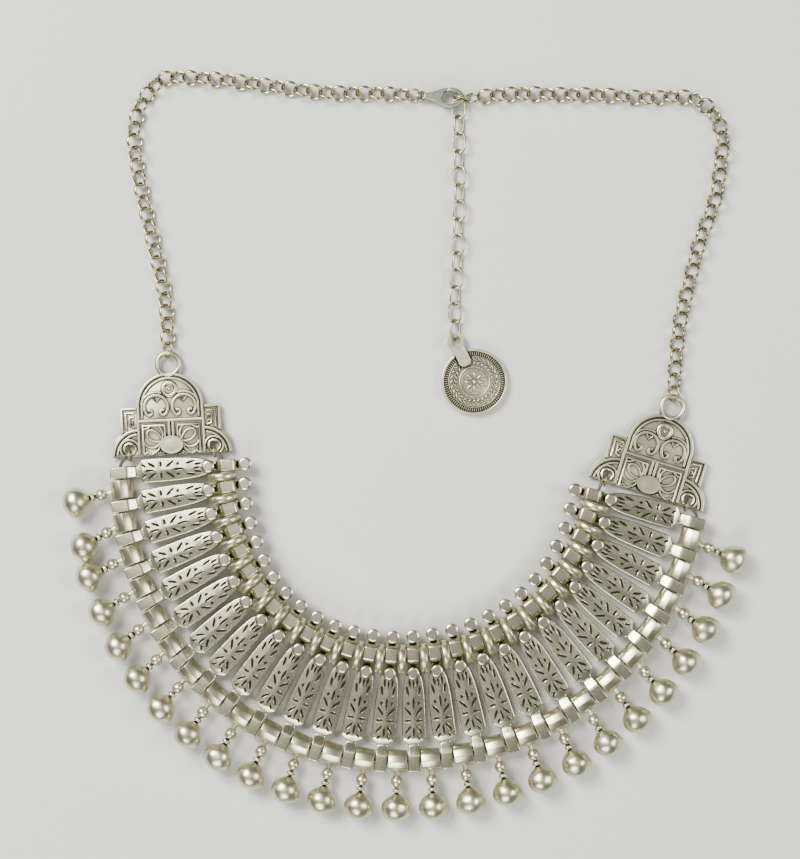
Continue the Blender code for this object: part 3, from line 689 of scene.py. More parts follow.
def add_node(tree, kind, settings=None, **inputs):
    """Add a shader node with its settings; an input is a value or the socket that feeds it."""
    node = tree.nodes.new(kind)
    for name, value in (settings or {}).items():
        setattr(node, name, value)
    for name, value in inputs.items():
        socket = node.inputs[name.replace("_", " ")]
        if isinstance(value, bpy.types.NodeSocket):
            tree.links.new(value, socket)
        else:
            socket.default_value = value
    return node


def mixed(tree, factor, first, second):
    """The socket of a colour mix from one colour to another."""
    mix = add_node(tree, "ShaderNodeMix", {"data_type": "RGBA"})
    for socket, value in ((mix.inputs[0], factor), (mix.inputs[6], first), (mix.inputs[7], second)):
        if isinstance(value, bpy.types.NodeSocket):
            tree.links.new(value, socket)
        else:
            socket.default_value = value if isinstance(value, float) else (*value, 1.0)
    return mix.outputs[2]


def noise(tree, place, size, detail):
    """The strength of a noise pattern whose features have a size in metres."""
    node = add_node(tree, "ShaderNodeTexNoise", Vector=place, Scale=1.0 / size, Detail=detail)
    return node.outputs["Fac"]


def ranged(tree, value, before, after, settings=None):
    """A value carried over from one range to another."""
    node = add_node(
        tree, "ShaderNodeMapRange", settings, Value=value, From_Min=before[0], From_Max=before[1],
        To_Min=after[0], To_Max=after[1])
    return node.outputs["Result"]


def seclusion(tree, distance):
    """How open a place is: 1 in the open, less in corners and cuts within a distance."""
    node = add_node(
        tree, "ShaderNodeAmbientOcclusion", {"samples": 8, "only_local": True}, Distance=distance)
    return node.outputs["AO"]


def started(name):
    """A new material with its node tree, its shader and the object's coordinates."""
    material = bpy.data.materials.new(name)
    material.use_nodes = True
    tree = material.node_tree
    place = add_node(tree, "ShaderNodeTexCoord").outputs["Object"]
    return material, tree, tree.nodes["Principled BSDF"], place


def antique_silver(name, bright, dark, roughness, crevice, grain, dents, field=None):
    """Cast and blackened silver: rubbed bright on top, dark where a cloth can't reach.

    crevice is how far in metres the blackening creeps from a corner, grain the size of the cast
    skin's grain, and dents the depth of its waviness. field is the height of a flat relief's ground,
    which stays duller than what stands out of it, and how much of its shine is left.
    """
    if name in bpy.data.materials:
        return bpy.data.materials[name]
    material, tree, shader, place = started(name)
    shader.inputs["Metallic"].default_value = 1.0
    # Tarnish comes in soft clouds about five millimetres across
    clouded = ranged(tree, noise(tree, place, 5.0 * MM, 3.0), NOISE_RANGE, (0.0, 0.6))
    # The sand of the mould leaves a fine grain, drawn a little coarser than it is so that it shows
    sand = noise(tree, place, grain, 2.0)
    # The blackening stays in corners and cuts, which see little of what is round them
    shine = ranged(
        tree, seclusion(tree, crevice), RUBBED_RANGE, (0.0, 1.0), {"interpolation_type": "SMOOTHSTEP"})
    dull = tuple(DULL_SHARE * channel for channel in bright)
    worn = mixed(tree, clouded, tuple(bright), dull)
    if field:
        height = add_node(tree, "ShaderNodeSeparateXYZ", Vector=place)
        ground, ground_shine = field
        raised = ranged(
            tree, height.outputs["Z"], (ground + 0.03 * MM, ground + 0.3 * MM), (ground_shine, 1.0))
        product = add_node(tree, "ShaderNodeMath", {"operation": "MULTIPLY"})
        tree.links.new(raised, product.inputs[0])
        tree.links.new(shine, product.inputs[1])
        shine = product.outputs["Value"]
    colour = mixed(tree, shine, tuple(dark), worn)
    tree.links.new(colour, shader.inputs["Base Color"])
    # Blackened corners are matt, rubbed tops nearly polished
    matt = ranged(tree, shine, (0.0, 1.0), (roughness + 0.25, roughness))
    uneven = add_node(tree, "ShaderNodeMath", {"operation": "MULTIPLY_ADD"})
    tree.links.new(sand, uneven.inputs[0])
    uneven.inputs[1].default_value = 0.12
    tree.links.new(matt, uneven.inputs[2])
    tree.links.new(uneven.outputs["Value"], shader.inputs["Roughness"])
    waves = noise(tree, place, 1.6 * MM, 1.0)
    wavy = add_node(tree, "ShaderNodeBump", Strength=0.6, Distance=dents, Height=waves)
    grainy = add_node(
        tree, "ShaderNodeBump", Strength=0.22, Distance=0.03 * MM, Height=sand,
        Normal=wavy.outputs["Normal"])
    tree.links.new(grainy.outputs["Normal"], shader.inputs["Normal"])
    return material


def bar_silver():
    """Zinc casting plated with silver and blackened: the bars' rubbed blades."""
    finish = bpy.context.scene.necklace_finish
    return antique_silver(
        "Antique silver plated casting", finish.silver, finish.patina, 0.22, 0.7 * MM, 0.22 * MM, 0.05 * MM)


def reflection_tinted_silver():
    """The same casting where the tops of lugs and buttons are flat: duller and a little pink, a painted
    reflection.
    """
    finish = bpy.context.scene.necklace_finish
    return antique_silver(
        "Tumbled silver plated flat", finish.reflected_flats, finish.patina, 0.28, 0.3 * MM, 0.3 * MM, 0.06 * MM)


def tube_silver():
    """Rolled and plated sheet of the tubes: the same silver, smoother."""
    finish = bpy.context.scene.necklace_finish
    return antique_silver(
        "Rolled silver plated sheet", finish.silver, finish.patina, 0.27, 0.5 * MM, 0.3 * MM, 0.015 * MM)


def bead_silver():
    """Stamped and tumbled hollow beads: the brightest silver of the necklace."""
    finish = bpy.context.scene.necklace_finish
    return antique_silver(
        "Tumbled silver plated bead", finish.silver, finish.patina, 0.3, 0.5 * MM, 0.35 * MM, 0.09 * MM)


def plate_silver():
    """The end plates: matt cast silver with dark lines along the relief."""
    finish = bpy.context.scene.necklace_finish
    return antique_silver(
        "Blackened silver relief casting", finish.silver, finish.patina, 0.3, 1.0 * MM, 0.2 * MM, 0.04 * MM,
        (PLATE_LIFT + bpy.context.scene.necklace_plate.field, 0.78))


def coin_silver():
    """The charm: struck like a coin, darker than the plates in its field."""
    finish = bpy.context.scene.necklace_finish
    return antique_silver(
        "Blackened struck silver", finish.silver, finish.patina, 0.34, 0.8 * MM, 0.2 * MM, 0.04 * MM,
        (COIN_FIELD, 0.66))


def cut_patina():
    """Silver sulphide in the engraved strokes: nearly black, matt and a little green."""
    name = "Silver sulphide patina"
    if name in bpy.data.materials:
        return bpy.data.materials[name]
    material, tree, shader, place = started(name)
    shader.inputs["Metallic"].default_value = 0.4
    shader.inputs["Roughness"].default_value = 0.6
    cloud = noise(tree, place, 0.8 * MM, 2.0)
    colour = mixed(tree, cloud, linear("#262419"), linear("#524D3B"))
    tree.links.new(colour, shader.inputs["Base Color"])
    return material


def plated_wire():
    """Drawn steel wire with silver plate: smooth, warm where the plate is thin."""
    name = "Silver plated steel wire"
    if name in bpy.data.materials:
        return bpy.data.materials[name]
    material, tree, shader, place = started(name)
    finish = bpy.context.scene.necklace_finish
    shader.inputs["Metallic"].default_value = 1.0
    cloud = noise(tree, place, 7.0 * MM, 3.0)
    warm = tuple(channel * share for channel, share in zip(finish.steel, (0.78, 0.74, 0.62)))
    worn = mixed(tree, cloud, tuple(finish.steel), warm)
    # Painted shade: the wire darkens to a quarter of its warm tone where links, rings and thread touch or
    # crowd each other
    colour = mixed(tree, seclusion(tree, 0.6 * MM), tuple(0.25 * channel for channel in warm), worn)
    tree.links.new(colour, shader.inputs["Base Color"])
    rough = ranged(tree, cloud, NOISE_RANGE, (0.24, 0.34))
    tree.links.new(rough, shader.inputs["Roughness"])
    return material


def polished_clasp():
    """Nickel plated clasp: cooler and more polished than the rest, with fine scratches."""
    name = "Nickel plated zinc"
    if name in bpy.data.materials:
        return bpy.data.materials[name]
    material, tree, shader, place = started(name)
    shader.inputs["Metallic"].default_value = 1.0
    scratches = noise(tree, place, 0.5 * MM, 4.0)
    colour = mixed(tree, scratches, linear("#C8C5B5"), linear("#A9A698"))
    tree.links.new(colour, shader.inputs["Base Color"])
    rough = ranged(tree, scratches, NOISE_RANGE, (0.12, 0.22))
    tree.links.new(rough, shader.inputs["Roughness"])
    return material


def cable_thread():
    """Nylon coated steel cable of the strings: dark grey with a soft gloss."""
    name = "Nylon coated steel cable"
    if name in bpy.data.materials:
        return bpy.data.materials[name]
    material, tree, shader, place = started(name)
    shader.inputs["Roughness"].default_value = 0.4
    lay = noise(tree, place, 0.4 * MM, 1.0)
    colour = mixed(tree, lay, linear("#4A4943"), linear("#77756B"))
    tree.links.new(colour, shader.inputs["Base Color"])
    return material


def floor_paint(colour):
    """Matt painted board under the necklace, with hardly visible unevenness."""
    material, tree, shader, place = started("Matt painted board")
    shader.inputs["Roughness"].default_value = 0.7
    cloud = noise(tree, place, 60.0 * MM, 2.0)
    shade = tuple(0.97 * channel for channel in colour)
    tree.links.new(mixed(tree, cloud, tuple(colour), shade), shader.inputs["Base Color"])
    return material


# Cast bars

# The bar from its outer lug's end: place, half width, bottom and top in millimetres
BAR_STATIONS = [
    (1.2, 1.5, -1.5, 1.5),
    (2.0, 1.48, -1.35, 1.25),
    (2.9, 1.42, -1.15, 0.65),
    (3.8, 1.34, -1.0, 0.12),
    (4.35, 1.42, -1.0, 0.1),
    (5.25, 2.72, -1.0, 0.1),
    (5.7, 3.0, -1.0, 0.1),
    (9.5, 3.0, -1.0, 0.1),
    (14.6, 2.88, -1.0, 0.1),
    (17.4, 2.68, -1.0, 0.1),
    (19.5, 2.42, -1.0, 0.1),
    (20.8, 2.12, -1.0, 0.1),
    (22.2, 1.62, -1.0, 0.1),
    (23.2, 1.15, -1.0, 0.1),
    (23.9, 1.2, -1.0, 0.1),
    (24.5, 1.5, -1.2, 0.85),
    (25.2, 1.5, -1.5, 1.5),
    (28.3, 1.5, -1.5, 1.5),
    (28.95, 1.5, -1.2, 0.85),
    (29.45, 0.95, -1.0, 0.1),
    (30.0, 0.95, -1.0, 0.1),
    (30.7, 1.2, -1.0, 0.1),
]

# How far past a stroke's half length its cutter's thin points reach
STROKE_REACH = 1.2

# The engraved strokes: place along and across the blade, half length, turn and width share,
# those off the middle mirrored to the other side
BAR_STROKES = [
    (7.2, 0.0, 1.1, 0.0, 1.0),
    (5.8, 1.3, 0.65, -36.0, 0.9),
    (7.75, 1.4, 1.15, -34.0, 1.0),
    (10.1, 1.45, 0.75, 90.0, 1.0),
    (12.5, 1.42, 1.3, 38.0, 1.0),
    (14.4, 1.3, 0.42, 8.0, 1.2),
    (14.45, 0.0, 1.35, 0.0, 1.0),
    (17.6, 1.5, 1.2, 11.0, 1.0),
    (19.2, 0.0, 0.9, 0.0, 0.85),
    (19.5, 0.95, 1.0, 6.0, 0.95),
]


def blade_height(across):
    """Height of the blade's shallow roof at a distance from its middle."""
    return BLADE_RIDGE - (BLADE_RIDGE - BLADE_TOP) * abs(across) / (BLADE_WIDTH / 2)


def stroke_cutter(along, across, half_length, turn, width, depth):
    """A spindle that cuts one pointed stroke into the blade."""
    centre = (along, across, blade_height(across) + 0.1 * depth)
    piece = drum((0.0, 0.0, 0.0), 1.0, 0.9, 8, (0.0, 90.0 * DEG, 0.0))
    edit(piece, "FACE")
    for side in (-1.0, 1.0):
        pick(piece, "faces", lambda face: face.normal.x * side > 0.9)
        bpy.ops.mesh.extrude_region_move(TRANSFORM_OT_translate={"value": (0.55 * side, 0.0, 0.0)})
        bpy.ops.transform.resize(value=(1.0, 0.12, 0.12), center_override=(side, 0.0, 0.0))
    leave_edit()
    piece.scale = (STROKE_REACH * half_length, width, depth)
    piece.rotation_euler = (0.0, 0.0, turn)
    piece.location = centre
    return settle(piece)


def engraving(depth, width, material):
    """All the strokes of one bar as one cutter, whose material the cut faces take."""
    cutters = []
    for along, across, half_length, turn, share in BAR_STROKES:
        for side in ((1.0, -1.0) if across else (1.0,)):
            cutters.append(stroke_cutter(
                along * MM, side * across * MM, half_length * MM, side * turn * DEG, share * width, depth))
    return paint(join(*cutters), material)


def bar_body():
    """The bar drawn out of its outer lug, end face by end face."""
    start = -2.6 * MM
    first = BAR_STATIONS[0][0] * MM
    piece = block(((start + first) / 2, 0.0, 0.0), (first - start, LUG_WIDTH, LUG_HEIGHT))
    edit(piece, "FACE")
    bpy.ops.mesh.select_all(action="SELECT")
    bpy.ops.mesh.bisect(plane_co=(0.0, 0.0, 0.0), plane_no=(0.0, 1.0, 0.0))
    pick(piece, "faces", lambda face: face.normal.x > 0.9)
    for before, after in zip(BAR_STATIONS, BAR_STATIONS[1:]):
        reach = (after[0] - before[0]) * MM
        middle = (before[2] + before[3]) / 2 * MM
        bpy.ops.mesh.extrude_region_move(TRANSFORM_OT_translate={"value": (reach, 0.0, 0.0)})
        bpy.ops.transform.resize(
            value=(1.0, after[1] / before[1], (after[3] - after[2]) / (before[3] - before[2])),
            center_override=(after[0] * MM, 0.0, middle))
        bpy.ops.transform.translate(value=(0.0, 0.0, (after[2] + after[3]) / 2 * MM - middle))
    bpy.ops.mesh.select_mode(type="VERT")
    # The roof's ridge rises over the shoulders and runs on to the button
    for start, end, share in ((5.0, 5.5, 0.4), (5.5, 22.0, 1.0)):
        pick(piece, "verts", lambda vert: (
            abs(vert.co.y) < 0.01 * MM and vert.co.z > 0.0 and start * MM < vert.co.x < end * MM))
        bpy.ops.transform.translate(value=(0.0, 0.0, share * (BLADE_RIDGE - BLADE_TOP)))
    leave_edit()
    return piece


def bar_master():
    """One cast bar with its button, head, bores and engraving."""
    look = bpy.context.scene.necklace_bar
    piece = paint(bar_body(), bar_silver())
    soften(piece, look.edge_round, 3, 28.0)
    button = capped_drum((BUTTON_PLACE, 0.0), BUTTON_RADIUS, BLADE_BOTTOM + 0.1 * MM, BUTTON_TOP, 0.45 * MM)
    fuse(piece, paint(button, bar_silver()))
    head = capped_drum((HEAD_PLACE, 0.0), HEAD_RADIUS, BLADE_BOTTOM, LUG_HEIGHT / 2, 0.48 * MM)
    fuse(piece, paint(head, bar_silver()))
    for along in (0.0, AXIS_SPAN):
        bore = drum((along, 0.0, 0.0), BORE_RADIUS, 2 * LUG_WIDTH, 16, (90.0 * DEG, 0.0, 0.0))
        fuse(piece, paint(bore, cut_patina()), "DIFFERENCE")
    # The graver throws up a shallow bright lip on both sides of each dark stroke
    lips = engraving(0.3 * look.cut_depth, 1.35 * look.cut_width, bar_silver())
    fuse(piece, lips, "DIFFERENCE", True)
    fuse(piece, engraving(look.cut_depth, look.cut_width, cut_patina()), "DIFFERENCE", True)
    # Painted reflection: flat faces high on the bar that face straight up take the pinkish flats colour
    piece.data.materials.append(reflection_tinted_silver())
    reflected_flats = len(piece.data.materials) - 1
    for face in piece.data.polygons:
        reflecting_top = face.center.z > BUTTON_TOP - 0.12 * MM and face.center.x > BUTTON_PLACE - BUTTON_RADIUS
        if reflecting_top and face.normal.z > 0.97:
            face.material_index = reflected_flats
    return weigh(piece)


class NECKLACE_OT_bars(bpy.types.Operator):
    """Model one engraved cast bar and stand a copy in each bar's place."""
    bl_idname = "necklace.bars"
    bl_label = "Cast Bars"

    def execute(self, context):
        master = bar_master()
        for k, place in enumerate(bar_places()):
            piece = copy_at(master, f"cast_bar_{k + 1:02d}", place)
            complete(piece, piece.name, "bar", f"bar_{k + 1:02d}", angle=50.0)
        discard(master)
        return {"FINISHED"}


# Strings

def tube_master(edge):
    """An eight sided tube, one long edge on top, 2 mm long until it is drawn out."""
    # Its rounded edges take off what it is wider here
    piece = drum((0.0, 0.0, 0.0), TUBE_RADIUS + 0.15 * MM, 2 * MM, 8)
    edit(piece, "EDGE")
    # The edge on top is X, where the sheet's seam is; it alone stays crisp
    pick(piece, "edges", lambda side: (
        abs(side.verts[0].co.z - side.verts[1].co.z) > MM and side.verts[0].co.x < 2.5 * MM))
    bpy.ops.mesh.bevel(offset=edge, segments=3)
    bpy.ops.mesh.select_mode(type="FACE")
    pick(piece, "faces", lambda face: abs(face.normal.z) > 0.9)
    bpy.ops.mesh.inset(thickness=0.45 * MM, depth=0.0, use_individual=True)
    bpy.ops.mesh.inset(thickness=1.35 * MM, depth=-0.25 * MM, use_individual=True)
    leave_edit()
    return paint(soften(piece, 0.12 * MM, 2, 40.0), tube_silver())


def stretched(piece, growth):
    """Draw a piece out along Z from its middle, without widening its ends."""
    edit(piece)
    for side in (-1.0, 1.0):
        pick(piece, "verts", lambda vert: vert.co.z * side > 0.0)
        bpy.ops.transform.translate(value=(0.0, 0.0, side * growth / 2))
    leave_edit()
    return piece


class NECKLACE_OT_tubes(bpy.types.Operator):
    """Lay an eight sided tube on the outer string between each two bars."""
    bl_idname = "necklace.tubes"
    bl_label = "Tubes"

    def execute(self, context):
        master = tube_master(context.scene.necklace_string.tube_edge)
        places = bar_places()
        for k, (place, following) in enumerate(zip(places, places[1:])):
            middle, run, free = spacer_line(place, following, 0.0)
            piece = copy_at(master, f"tube_{k + 1:02d}", Matrix.Identity(4))
            stretched(piece, free - 2 * TUBE_END_GAP - 2 * MM)
            piece.matrix_world = facing(middle, run, UP)
            half = "left" if k < BAR_COUNT // 2 else "right"
            complete(piece, piece.name, "bead", f"outer_string_{half}")
        discard(master)
        return {"FINISHED"}


def rondelle_master(rim):
    """A thick round lens with a rounded rim, 2 mm thick until it is drawn out."""
    piece = drum((0.0, 0.0, 0.0), RONDELLE_RADIUS, 2 * MM, 40)
    edit(piece, "FACE")
    pick(piece, "faces", lambda face: abs(face.normal.z) > 0.9)
    bpy.ops.mesh.inset(thickness=0.9 * MM, depth=0.12 * MM, use_individual=True)
    bpy.ops.mesh.inset(thickness=1.1 * MM, depth=0.05 * MM, use_individual=True)
    leave_edit()
    return paint(soften(piece, rim, 4, 60.0), bead_silver())


class NECKLACE_OT_rondelles(bpy.types.Operator):
    """Stand a lens shaped rondelle on the inner string between each two bars."""
    bl_idname = "necklace.rondelles"
    bl_label = "Rondelles"

    def execute(self, context):
        master = rondelle_master(context.scene.necklace_string.rondelle_rim)
        places = bar_places()
        for k, (place, following) in enumerate(zip(places, places[1:])):
            middle, run, free = spacer_line(place, following, AXIS_SPAN)
            piece = copy_at(master, f"rondelle_{k + 1:02d}", Matrix.Identity(4))
            stretched(piece, free - 2 * RONDELLE_END_GAP - 2.34 * MM)
            piece.matrix_world = facing(middle, run, UP)
            complete(piece, piece.name, "bead", "inner_string", angle=45.0)
        discard(master)
        return {"FINISHED"}


def drop_master():
    """Pin, bead, disc, cone and hollow ball along +Z, from the string's axis."""
    pin_end = TUBE_RADIUS + DROP_PIN_FREE
    ball_z = pin_end + 2 * DROP_BEAD_RADIUS + DROP_NECK_LENGTH + DROP_BALL_RADIUS
    # The bead sits close under the tube, and its short sleeve narrows towards it
    bead_z = pin_end + DROP_BEAD_RADIUS - 0.9 * MM
    sleeve = drum((0.0, 0.0, (TUBE_RADIUS + bead_z) / 2 - 0.3 * MM), 0.75 * MM, bead_z - TUBE_RADIUS, 16)
    edit(sleeve, "FACE")
    pick(sleeve, "faces", lambda face: face.normal.z > 0.9)
    bpy.ops.transform.resize(value=(0.62, 0.62, 1.0))
    leave_edit()
    neck = drum((0.0, 0.0, bead_z + 2.7 * MM), 0.45 * MM, 3.4 * MM, 12)
    bead = dome((0.0, 0.0, bead_z), (1.52 * MM, 1.52 * MM, 1.5 * MM), 20, 12)
    disc_z = bead_z + DROP_BEAD_RADIUS + 0.7 * MM
    disc = soften(drum((0.0, 0.0, disc_z), 1.08 * MM, 0.85 * MM, 20), 0.3 * MM, 3)
    ball_z -= 0.3 * MM
    ball = dome((0.0, 0.0, ball_z), (3.6 * MM, 3.3 * MM, 3.35 * MM), 32, 20)
    edit(ball)
    # The ball's top is drawn out to a cone, and a bump of solder stands out of one side
    for reach in (1.5, 0.9):
        pick(ball, "verts", lambda vert: (
            math.hypot(vert.co.x, vert.co.y) < reach * MM and vert.co.z < ball_z))
        bpy.ops.transform.translate(value=(0.0, 0.0, -0.2 * MM))
    bump = Vector((math.cos(22.0 * DEG), 0.0, math.sin(22.0 * DEG)))
    top = Vector((0.0, 0.0, ball_z)) + bump * DROP_BALL_RADIUS
    for reach in (1.5, 1.1, 0.8):
        pick(ball, "verts", lambda vert: (vert.co - top).length < reach * MM)
        bpy.ops.transform.translate(value=bump * 0.16 * MM)
    leave_edit()
    return paint(join(ball, bead, disc, sleeve, neck), bead_silver())


def drop_frame(place, following, number):
    """The frame of one drop: Z along its pin from the string's axis, the ball on the floor."""
    middle, run, _ = spacer_line(place, following, 0.0)
    outward = run.cross(UP)
    lean = DROP_LEAN * -run.y
    if number == DROP_SWUNG:
        lean += DROP_SWUNG_LEAN
    direction = Matrix.Rotation(lean, 3, "Z") @ outward
    ball = TUBE_RADIUS + DROP_PIN_FREE + 2 * DROP_BEAD_RADIUS + DROP_NECK_LENGTH + DROP_BALL_RADIUS
    direction = direction * ball + Vector((0.0, 0.0, DROP_BALL_RADIUS - middle.z))
    return facing(middle, direction, run)


class NECKLACE_OT_drops(bpy.types.Operator):
    """Hang a dented ball drop from each tube."""
    bl_idname = "necklace.drops"
    bl_label = "Ball Drops"

    def execute(self, context):
        chance = random.Random(7)
        dents = bpy.data.textures.new("dents", "CLOUDS")
        dents.noise_scale = 2.6 * MM
        dents.noise_depth = 1
        master = drop_master()
        places = bar_places()
        for k, (place, following) in enumerate(zip(places, places[1:])):
            spin = Matrix.Rotation(chance.uniform(-14.0, 14.0) * DEG, 4, "Z")
            piece = copy_at(master, f"drop_{k + 1:02d}", drop_frame(place, following, k + 1) @ spin)
            depth = context.scene.necklace_string.ball_dents * chance.uniform(0.7, 1.0)
            modify(piece, "DISPLACE", texture=dents, strength=depth, mid_level=0.55, texture_coords="GLOBAL")
            half = "left" if k < BAR_COUNT // 2 else "right"
            complete(piece, piece.name, "bead", f"outer_string_{half}", angle=50.0)
        discard(master)
        return {"FINISHED"}


def thread_line(places, along_bar, ends):
    """The line of a string's thread through all bars, from eye to eye."""
    # The thread runs straight through the end bars' bores and bends only outside them
    outside = LUG_WIDTH / 2 + THREAD_RADIUS
    first, last = places[0], places[-1]
    line = [ends[0], first @ Vector((along_bar, 0.0, 0.0)) - run_of(first) * outside]
    for k, place in enumerate(places):
        line.append(place @ Vector((along_bar, 0.0, 0.0)))
        if k + 1 < len(places):
            line.append(spacer_line(place, places[k + 1], along_bar)[0])
    line.append(last @ Vector((along_bar, 0.0, 0.0)) + run_of(last) * outside)
    line.append(ends[1])
    return line


def eye_ring(jump, target):
    """The eye round a jump ring's top wire and the point of it nearest to the string."""
    turn = Matrix.Rotation(90.0 * DEG, 4, "Z")
    place = jump @ Matrix.Translation((0.0, 0.0, JUMP_HALF_HEIGHT)) @ turn
    piece = hoop((0.0, 0.0, 0.0), EYE_RADIUS, EYE_WIRE, 20, 8, (90.0 * DEG, 0.0, 0.0))
    piece.matrix_world = place
    settle(piece)
    sideways = place.to_3x3() @ Vector((EYE_RADIUS, 0.0, 0.0))
    if sideways.dot(target - place.translation) < 0:
        sideways = -sideways
    return piece, place.translation + sideways


class NECKLACE_OT_threads(bpy.types.Operator):
    """Run both strings through the bars and end them in eyes on the jump rings."""
    bl_idname = "necklace.threads"
    bl_label = "Strings"

    def execute(self, context):
        places = bar_places()
        jumps = jump_frames()
        for string, along in (("outer", 0.0), ("inner", AXIS_SPAN)):
            first, start = eye_ring(jumps["left", string], places[0] @ Vector((along, 0.0, 0.0)))
            last, end = eye_ring(jumps["right", string], places[-1] @ Vector((along, 0.0, 0.0)))
            line = thread_line(places, along, (start, end))
            thread = paint(wires([line], THREAD_RADIUS, 0.0, 2), cable_thread())
            piece = join(thread, paint(first, plated_wire()), paint(last, plated_wire()))
            nodes = ("inner_string",)
            if string == "outer":
                nodes = ("outer_string_left", "outer_string_right")
            complete(piece, f"string_{string}", "chain", *nodes, angle=60.0)
        return {"FINISHED"}


# End plates

def plate_outline():
    """Foot, flares, shoulders and arch of the plate in plan."""
    right = [(FOOT_HALF_WIDTH, -FOOT_HEIGHT)]
    flare = (FOOT_HALF_WIDTH - SHOULDER_HALF_WIDTH, FLARE_HEIGHT)
    right += arc((SHOULDER_HALF_WIDTH, -FOOT_HEIGHT), flare, 10.0, 90.0, 8)
    right += [(SHOULDER_HALF_WIDTH, -0.4 * MM), (SHOULDER_HALF_WIDTH - 0.4 * MM, 0.0)]
    right += arc((0.0, 0.0), ARCH_RADIUS, 0.0, 90.0, 20)[:-1]
    return right + [(0.0, ARCH_RADIUS)] + [(-x, y) for x, y in reversed(right)]


def toward(angle):
    """The direction in plan at an angle in degrees."""
    return Vector((math.cos(angle * DEG), math.sin(angle * DEG)))


def curl_points(centre, ring, end, sense):
    """The curl inwards from one end of an open ring, from the ring's end on, in millimetres."""
    curl = 0.85
    hub = centre + (ring - curl) * toward(end)
    return [hub + curl * (1.0 - 0.04 * k) * toward(end + 27.0 * sense * k) for k in range(11)]


def scroll_lines():
    """The round scrolls in the arch: an open ring whose ends curl inwards, and its zigzag."""
    centre = Vector((3.5, -0.1))
    ring = 2.95
    start, end = -38.0, 218.0
    steps = 26
    line = curl_points(centre, ring, start, -1.0)[::-1]
    for k in range(1, steps + 1):
        line.append(centre + ring * toward(start + (end - start) * k / steps))
    line += curl_points(centre, ring, end, 1.0)[1:]
    scroll = mm_line(*line)
    notch = mm_line((2.5, 2.2), (3.3, 1.2), (4.2, 2.3))
    return scroll, notch


def plate_ribs():
    """Broad bands: the arch, the box, the shoulders, the flares and the scrolls."""
    arch = [(8.06 * MM, -3.5 * MM)] + arc((0.0, 0.0), 8.06 * MM, 0.0, 180.0, 40) + [(-8.06 * MM, -3.5 * MM)]
    sides = [
        mm_line((8.6, -0.32), (12.18, -0.32), (12.18, -6.2)),
        mm_line((8.15, -3.5), (8.15, -11.8)),
        mm_line((0.5, -3.5), (0.5, -7.4)),
        arc((8.1 * MM, -12.4 * MM), (6.6 * MM, 6.7 * MM), 3.0, 88.0, 18),
    ]
    scroll, _ = scroll_lines()
    return [arch, mm_line((-8.1, -3.5), (8.1, -3.5))] + mirrored(sides + [scroll])


def plate_lines():
    """Narrow bands: the arch's second band, panel borders, loops and leaves."""
    inner = [(7.05 * MM, -2.7 * MM)] + arc((0.0, 0.0), 7.05 * MM, 0.0, 180.0, 36) + [(-7.05 * MM, -2.7 * MM)]
    _, notch = scroll_lines()
    loop = bend(mm_line(
        (2.35, -8.7), (2.9, -7.3), (4.2, -6.0), (5.6, -5.9), (6.1, -6.9), (5.4, -8.1), (3.9, -8.8),
        (2.35, -8.7)))
    sides = [
        arc((3.5 * MM, -0.1 * MM), 3.7 * MM, 10.0, 112.0, 14),
        mm_line((1.6, -4.7), (7.05, -4.7), (7.05, -12.0)),
        mm_line((1.6, -4.7), (1.6, -7.9)),
        mm_line((9.0, -1.35), (11.15, -1.35), (11.15, -5.5)),
        mm_line((9.1, -2.4), (10.2, -2.4), (10.2, -4.6), (9.1, -4.9)),
        arc((8.1 * MM, -12.4 * MM), (5.6 * MM, 5.7 * MM), 6.0, 84.0, 16),
        arc((10.6 * MM, -10.3 * MM), 2.3 * MM, 170.0, -60.0, 16),
        loop,
        bend(mm_line((3.0, -4.9), (2.2, -6.4), (2.3, -8.5))),
        bend(mm_line((2.6, -9.0), (3.3, -10.7), (5.0, -12.0))),
        bend(mm_line((2.6, -9.0), (4.2, -10.2), (5.9, -10.0), (7.0, -8.9))),
        bend(mm_line((5.2, -4.8), (6.0, -5.4), (7.0, -5.5))),
        mm_line((5.1, -12.0), (6.1, -11.3), (7.0, -11.9)),
    ]
    return mirrored(sides) + [inner], mirrored([notch, mm_line((9.3, -3.2), (9.8, -3.7), (9.2, -4.1))])


